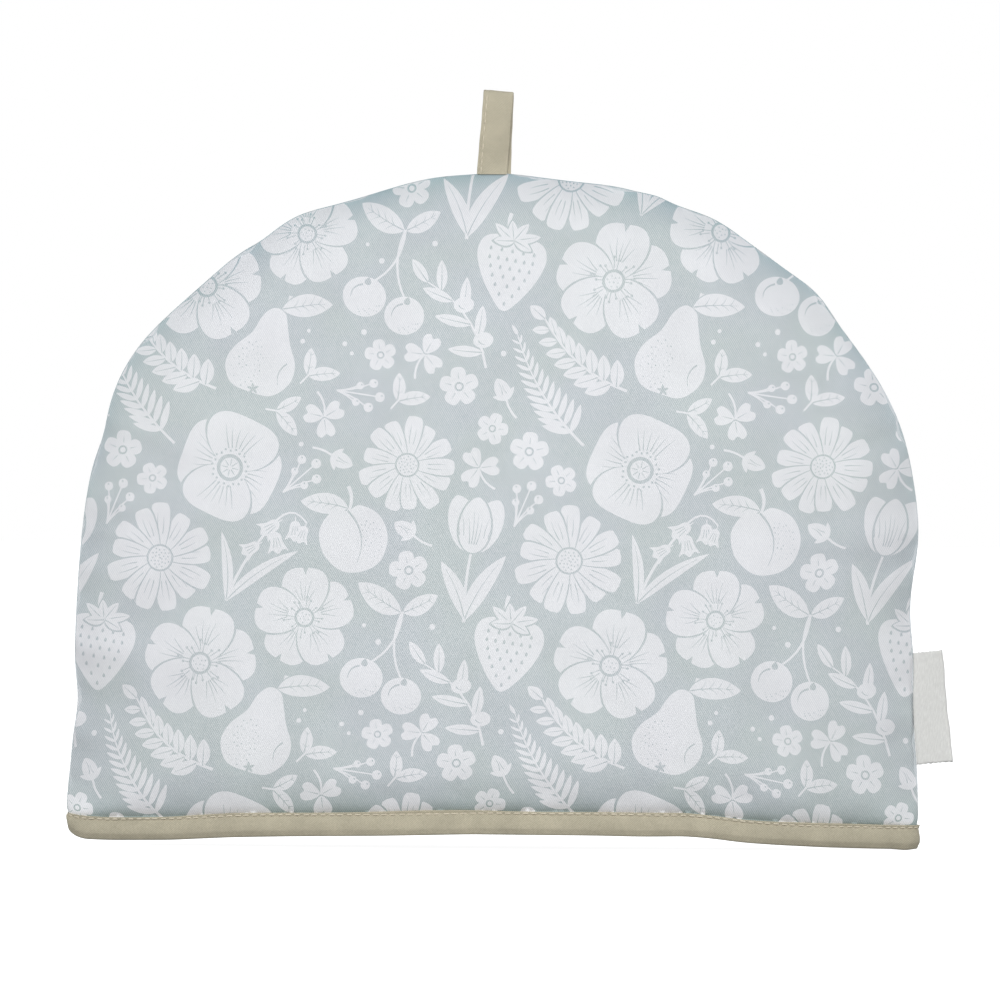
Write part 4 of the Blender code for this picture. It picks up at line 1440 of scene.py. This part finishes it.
def hanging_loop():
    """The folded strip as rings of points round its section, from foot to foot."""
    points = []
    for step in range(LOOP_STEPS + 1):
        along = loop_length[step]
        ring = []
        for face in (1, -1):
            places = LOOP_SECTION if face > 0 else LOOP_SECTION[::-1]
            for across, half in places:
                near = math.exp(-(((across - LOOP_STITCH) / 0.22) ** 2))
                ripple = 0.10 * math.cos(2 * math.pi * along / LOOP_STITCH_PITCH) * near
                ripple += 0.10 * math.sin(along / 0.0037 + 2.0 * across) * (1 - across * across)
                out = face * half * LOOP_CLOTH / 2 + ripple * MM
                uneven = 1.0 + 0.012 * math.sin(along / 0.0052) + 0.008 * math.sin(along / 0.0019)
                ring.append(loop_point(step, across * uneven, out))
        points += ring
    across = 2 * len(LOOP_SECTION)
    ends = [tuple(range(across)), tuple(LOOP_STEPS * across + k for k in reversed(range(across)))]
    return points, ends + ring_faces(LOOP_STEPS + 1, across)


def loop_stitches():
    """Start, end and outward direction of each stitch of the loop, on both its faces."""
    starts, ends, outwards = [], [], []
    for k in range(int(loop_length[-1] / LOOP_STITCH_PITCH)):
        place = (k + 0.5) * LOOP_STITCH_PITCH
        around = (place - LOOP_STITCH_REACH, place, place + LOOP_STITCH_REACH)
        a, m, b = np.searchsorted(loop_length, around)
        if b > LOOP_STEPS:
            continue
        for face in (1, -1):
            out = face * 0.39 * LOOP_CLOTH
            starts.append(np.array(loop_point(a, LOOP_STITCH, out)))
            ends.append(np.array(loop_point(b, LOOP_STITCH, out)))
            outwards.append(face * np.array([0.0, *loop_out[m]]))
    return starts, ends, outwards


loop_twill = khaki_twill(
    "loop_twill", (0.0, math.radians(-32), 0.0), (0.640, 0.580, 0.445), (0.330, 0.292, 0.214)
)
loop = add_mesh("hanging_loop", *hanging_loop(), [loop_twill])
stitches = sewn("loop_stitches", *loop_stitches(), LOOP_THREAD, binding_thread)
for piece in (loop, stitches):
    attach(piece, "root")
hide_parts("top_loop")

# ---------------------------------------------------------------------------------------
# Side tab. A short length of woven off-white tape, folded in two and caught by its ends in
# the right-hand seam. It is left blank. Its cut edges at the top and bottom fray a little.
# ---------------------------------------------------------------------------------------

TAB_FOOT = 32.0 * MM
TAB_LENGTH = 46.8 * MM
TAB_REACH = 13.0 * MM  # beyond the seam's greatest half width, at the foot
TAB_NARROWING = 4.7 * MM  # how much less it reaches at the top
TAB_CAUGHT = 0.1 * MM  # how far inside the seam it starts
TAB_TILT = math.radians(5.5)
TAB_CLOTH = 1.0 * MM
TAB_RISE = 1.2 * MM  # how far the pull of the seam has lifted it
TAB_LAYER_GAP = 0.6 * MM
TAB_CURL = 1.2 * MM
TAB_FRAY = 0.22 * MM
TAB_STEPS = 60


def seam_out(z):
    """How far out the uneven right-hand seam stands at a height."""
    inside, along, normal = from_seam(np.array([[seam_x(z), z]]))
    placed = standing(np.array([[seam_x(z), z]]), np.zeros(1), inside, along, normal)
    return float(placed[0, 0]) - BODY_X


def tab_plan(start, end):
    """Plan (x, y) round the folded tape: its shown face out and back, then its inner face."""
    ring = []
    for side, radius in ((-1, (TAB_LAYER_GAP + 2 * TAB_CLOTH) / 2), (1, TAB_LAYER_GAP / 2)):
        leg = np.linspace(start, end, 15)[:-1]
        turn = np.linspace(0.0, math.pi, 13)
        ring += [(x, side * radius) for x in leg]
        ring += [(end + radius * math.sin(a), side * radius * math.cos(a)) for a in turn]
        ring += [(x, -side * radius) for x in reversed(leg)]
    return ring


def side_tab():
    """The folded tape as rings of points round its plan, from its lower cut edge to the upper one."""
    points = []
    for step in range(TAB_STEPS + 1):
        part = step / TAB_STEPS
        height = TAB_FOOT + TAB_LENGTH * part
        start = seam_out(height) - TAB_CAUGHT
        end = SEAM_HALF_WIDTH + TAB_REACH - TAB_NARROWING * part
        end += 0.15 * MM * math.sin(9.0 * part) + 0.1 * MM * math.sin(23.0 * part + 1.0)
        curl = TAB_CURL * (math.sin(math.pi * part) - 0.5)
        at_end = max(0.0, 1.0 - min(step, TAB_STEPS - step) / 3.0)
        for k, (x, y) in enumerate(tab_plan(start, end)):
            out = (x - start) / (end - start)
            ragged = at_end * TAB_FRAY * (math.sin(2.9 * k) + 0.6 * math.sin(5.3 * k + 1.0))
            z = height + math.tan(TAB_TILT) * (x - start) + ragged
            bent = curl * max(out, 0.0) ** 2 + 0.25 * MM * math.sin(3.1 * part + 4.0 * out) * out
            points.append((x + BODY_X, y + bent, z + BODY_RISE + NIB + TAB_RISE))
    across = len(tab_plan(0.0, 1.0))
    faces = ring_faces(TAB_STEPS + 1, across, turned_over=True)
    half = across // 2
    for base, flip in ((0, 1), (TAB_STEPS * across, -1)):
        for k in range(half - 1):
            quad = (base + k, base + k + 1, base + across - 2 - k, base + across - 1 - k)
            faces.append(quad[::-flip])
    return points, faces


def woven_tape(name):
    """Off-white taffeta tape: a fine even grid of warp and weft."""
    material = cloth_material(name, Roughness=0.62, Sheen_Weight=0.1)
    warp, slub = threads(material, (0.0, TAB_TILT, 0.0), 0.42 * MM, 2.0 * MM)
    weft, _ = threads(material, (0.0, TAB_TILT + math.radians(90), 0.0), 0.36 * MM, 2.0 * MM)
    weave = maths(material, "MULTIPLY", warp, weft)
    lit = ranged(material, maths(material, "MULTIPLY_ADD", slub, 1.2, weave), 0.55, 1.15)
    cloth = mixed(material, lit, (0.620, 0.606, 0.580), (0.822, 0.810, 0.782))
    return dressed(material, cloth, weave, 0.5, 0.08 * MM)


tape = woven_tape("woven_tape")
tab = add_mesh("side_tab_tape", *side_tab(), [tape])
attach(tab, "root")
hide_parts("side_tab")

# ---------------------------------------------------------------------------------------
# The stand: a plain pale floor, soft studio light from the front, and the camera.
# ---------------------------------------------------------------------------------------

floor_mesh = bpy.data.meshes.new("floor")
floor_mesh.from_pydata([(-40, -40, 0), (40, -40, 0), (40, 40, 0), (-40, 40, 0)], [], [(0, 1, 2, 3)])
floor_paint = bpy.data.materials.new("floor_paint")
floor_paint.use_nodes = True
floor_shader = floor_paint.node_tree.nodes["Principled BSDF"]
floor_shader.inputs["Base Color"].default_value = (0.30, 0.30, 0.30, 1.0)
floor_shader.inputs["Roughness"].default_value = 0.9
floor_shader.inputs["Emission Color"].default_value = (1.0, 1.0, 1.0, 1.0)
floor_seen = add_node(floor_paint, "ShaderNodeLightPath").outputs["Is Camera Ray"]
# The floor is seen as pale as the backdrop, and throws little of that light on the cosy.
floor_glow = add_node(floor_paint, "ShaderNodeMapRange", {0: floor_seen, 3: 0.04, 4: 0.96})
floor_paint.node_tree.links.new(floor_glow.outputs[0], floor_shader.inputs["Emission Strength"])
floor_mesh.materials.append(floor_paint)
floor = bpy.data.objects.new("floor", floor_mesh)
bpy.context.scene.collection.objects.link(floor)

world = bpy.data.worlds.new("studio")
world.use_nodes = True
bpy.context.scene.world = world
world_nodes = world.node_tree.nodes
backdrop = world_nodes["Background"]
backdrop.inputs["Color"].default_value = (1.0, 1.0, 1.0, 1.0)
backdrop.inputs["Strength"].default_value = 1.0
fill = world_nodes.new("ShaderNodeBackground")
fill.inputs["Color"].default_value = (0.80, 0.94, 1.0, 1.0)
fill.inputs["Strength"].default_value = 0.24
seen = world_nodes.new("ShaderNodeLightPath")
chosen = world_nodes.new("ShaderNodeMixShader")
world.node_tree.links.new(seen.outputs["Is Camera Ray"], chosen.inputs[0])
world.node_tree.links.new(fill.outputs[0], chosen.inputs[1])
world.node_tree.links.new(backdrop.outputs[0], chosen.inputs[2])
world.node_tree.links.new(chosen.outputs[0], world_nodes["World Output"].inputs["Surface"])


def add_sun(name, azimuth, elevation, strength, spread):
    """A soft distant light; azimuth 0 shines from the front, 90 from the right."""
    light = bpy.data.lights.new(name, "SUN")
    light.energy = strength
    light.angle = math.radians(spread)
    lamp = bpy.data.objects.new(name, light)
    lamp.rotation_euler = (math.radians(90 - elevation), 0.0, math.radians(azimuth))
    bpy.context.scene.collection.objects.link(lamp)


add_sun("front_light", -5, 35, 0.92, 30)
add_sun("back_light", 175, 30, 0.85, 30)
add_sun("left_light", -78, 10, 0.88, 40)
add_sun("right_light", 78, 14, 0.94, 40)


def add_softbox(name, place, power, size):
    """A square lamp near the object, aimed at its middle and itself unseen."""
    light = bpy.data.lights.new(name, "AREA")
    light.energy = power
    light.size = size
    lamp = bpy.data.objects.new(name, light)
    lamp.location = place
    towards = Vector((0.0, 0.0, 0.13)) - Vector(place)
    lamp.rotation_euler = towards.to_track_quat("-Z", "Y").to_euler()
    lamp.visible_camera = False
    bpy.context.scene.collection.objects.link(lamp)


add_softbox("front_softbox", (-0.05, -1.2, 0.38), 6.25, 0.50)
add_softbox("back_softbox", (0.05, 1.2, 0.38), 6.4, 0.50)

camera_data = bpy.data.cameras.new("camera")
camera_data.lens = 513.0
camera_data.clip_start = 0.1
camera_data.clip_end = 60.0
camera = bpy.data.objects.new("camera", camera_data)
camera.location = (-6.1 * MM, -6.0, 146.0 * MM)
camera.rotation_euler = (math.radians(90), math.radians(-0.42), 0.0)
bpy.context.scene.collection.objects.link(camera)
bpy.context.scene.camera = camera
bpy.context.scene.view_settings.view_transform = "Standard"
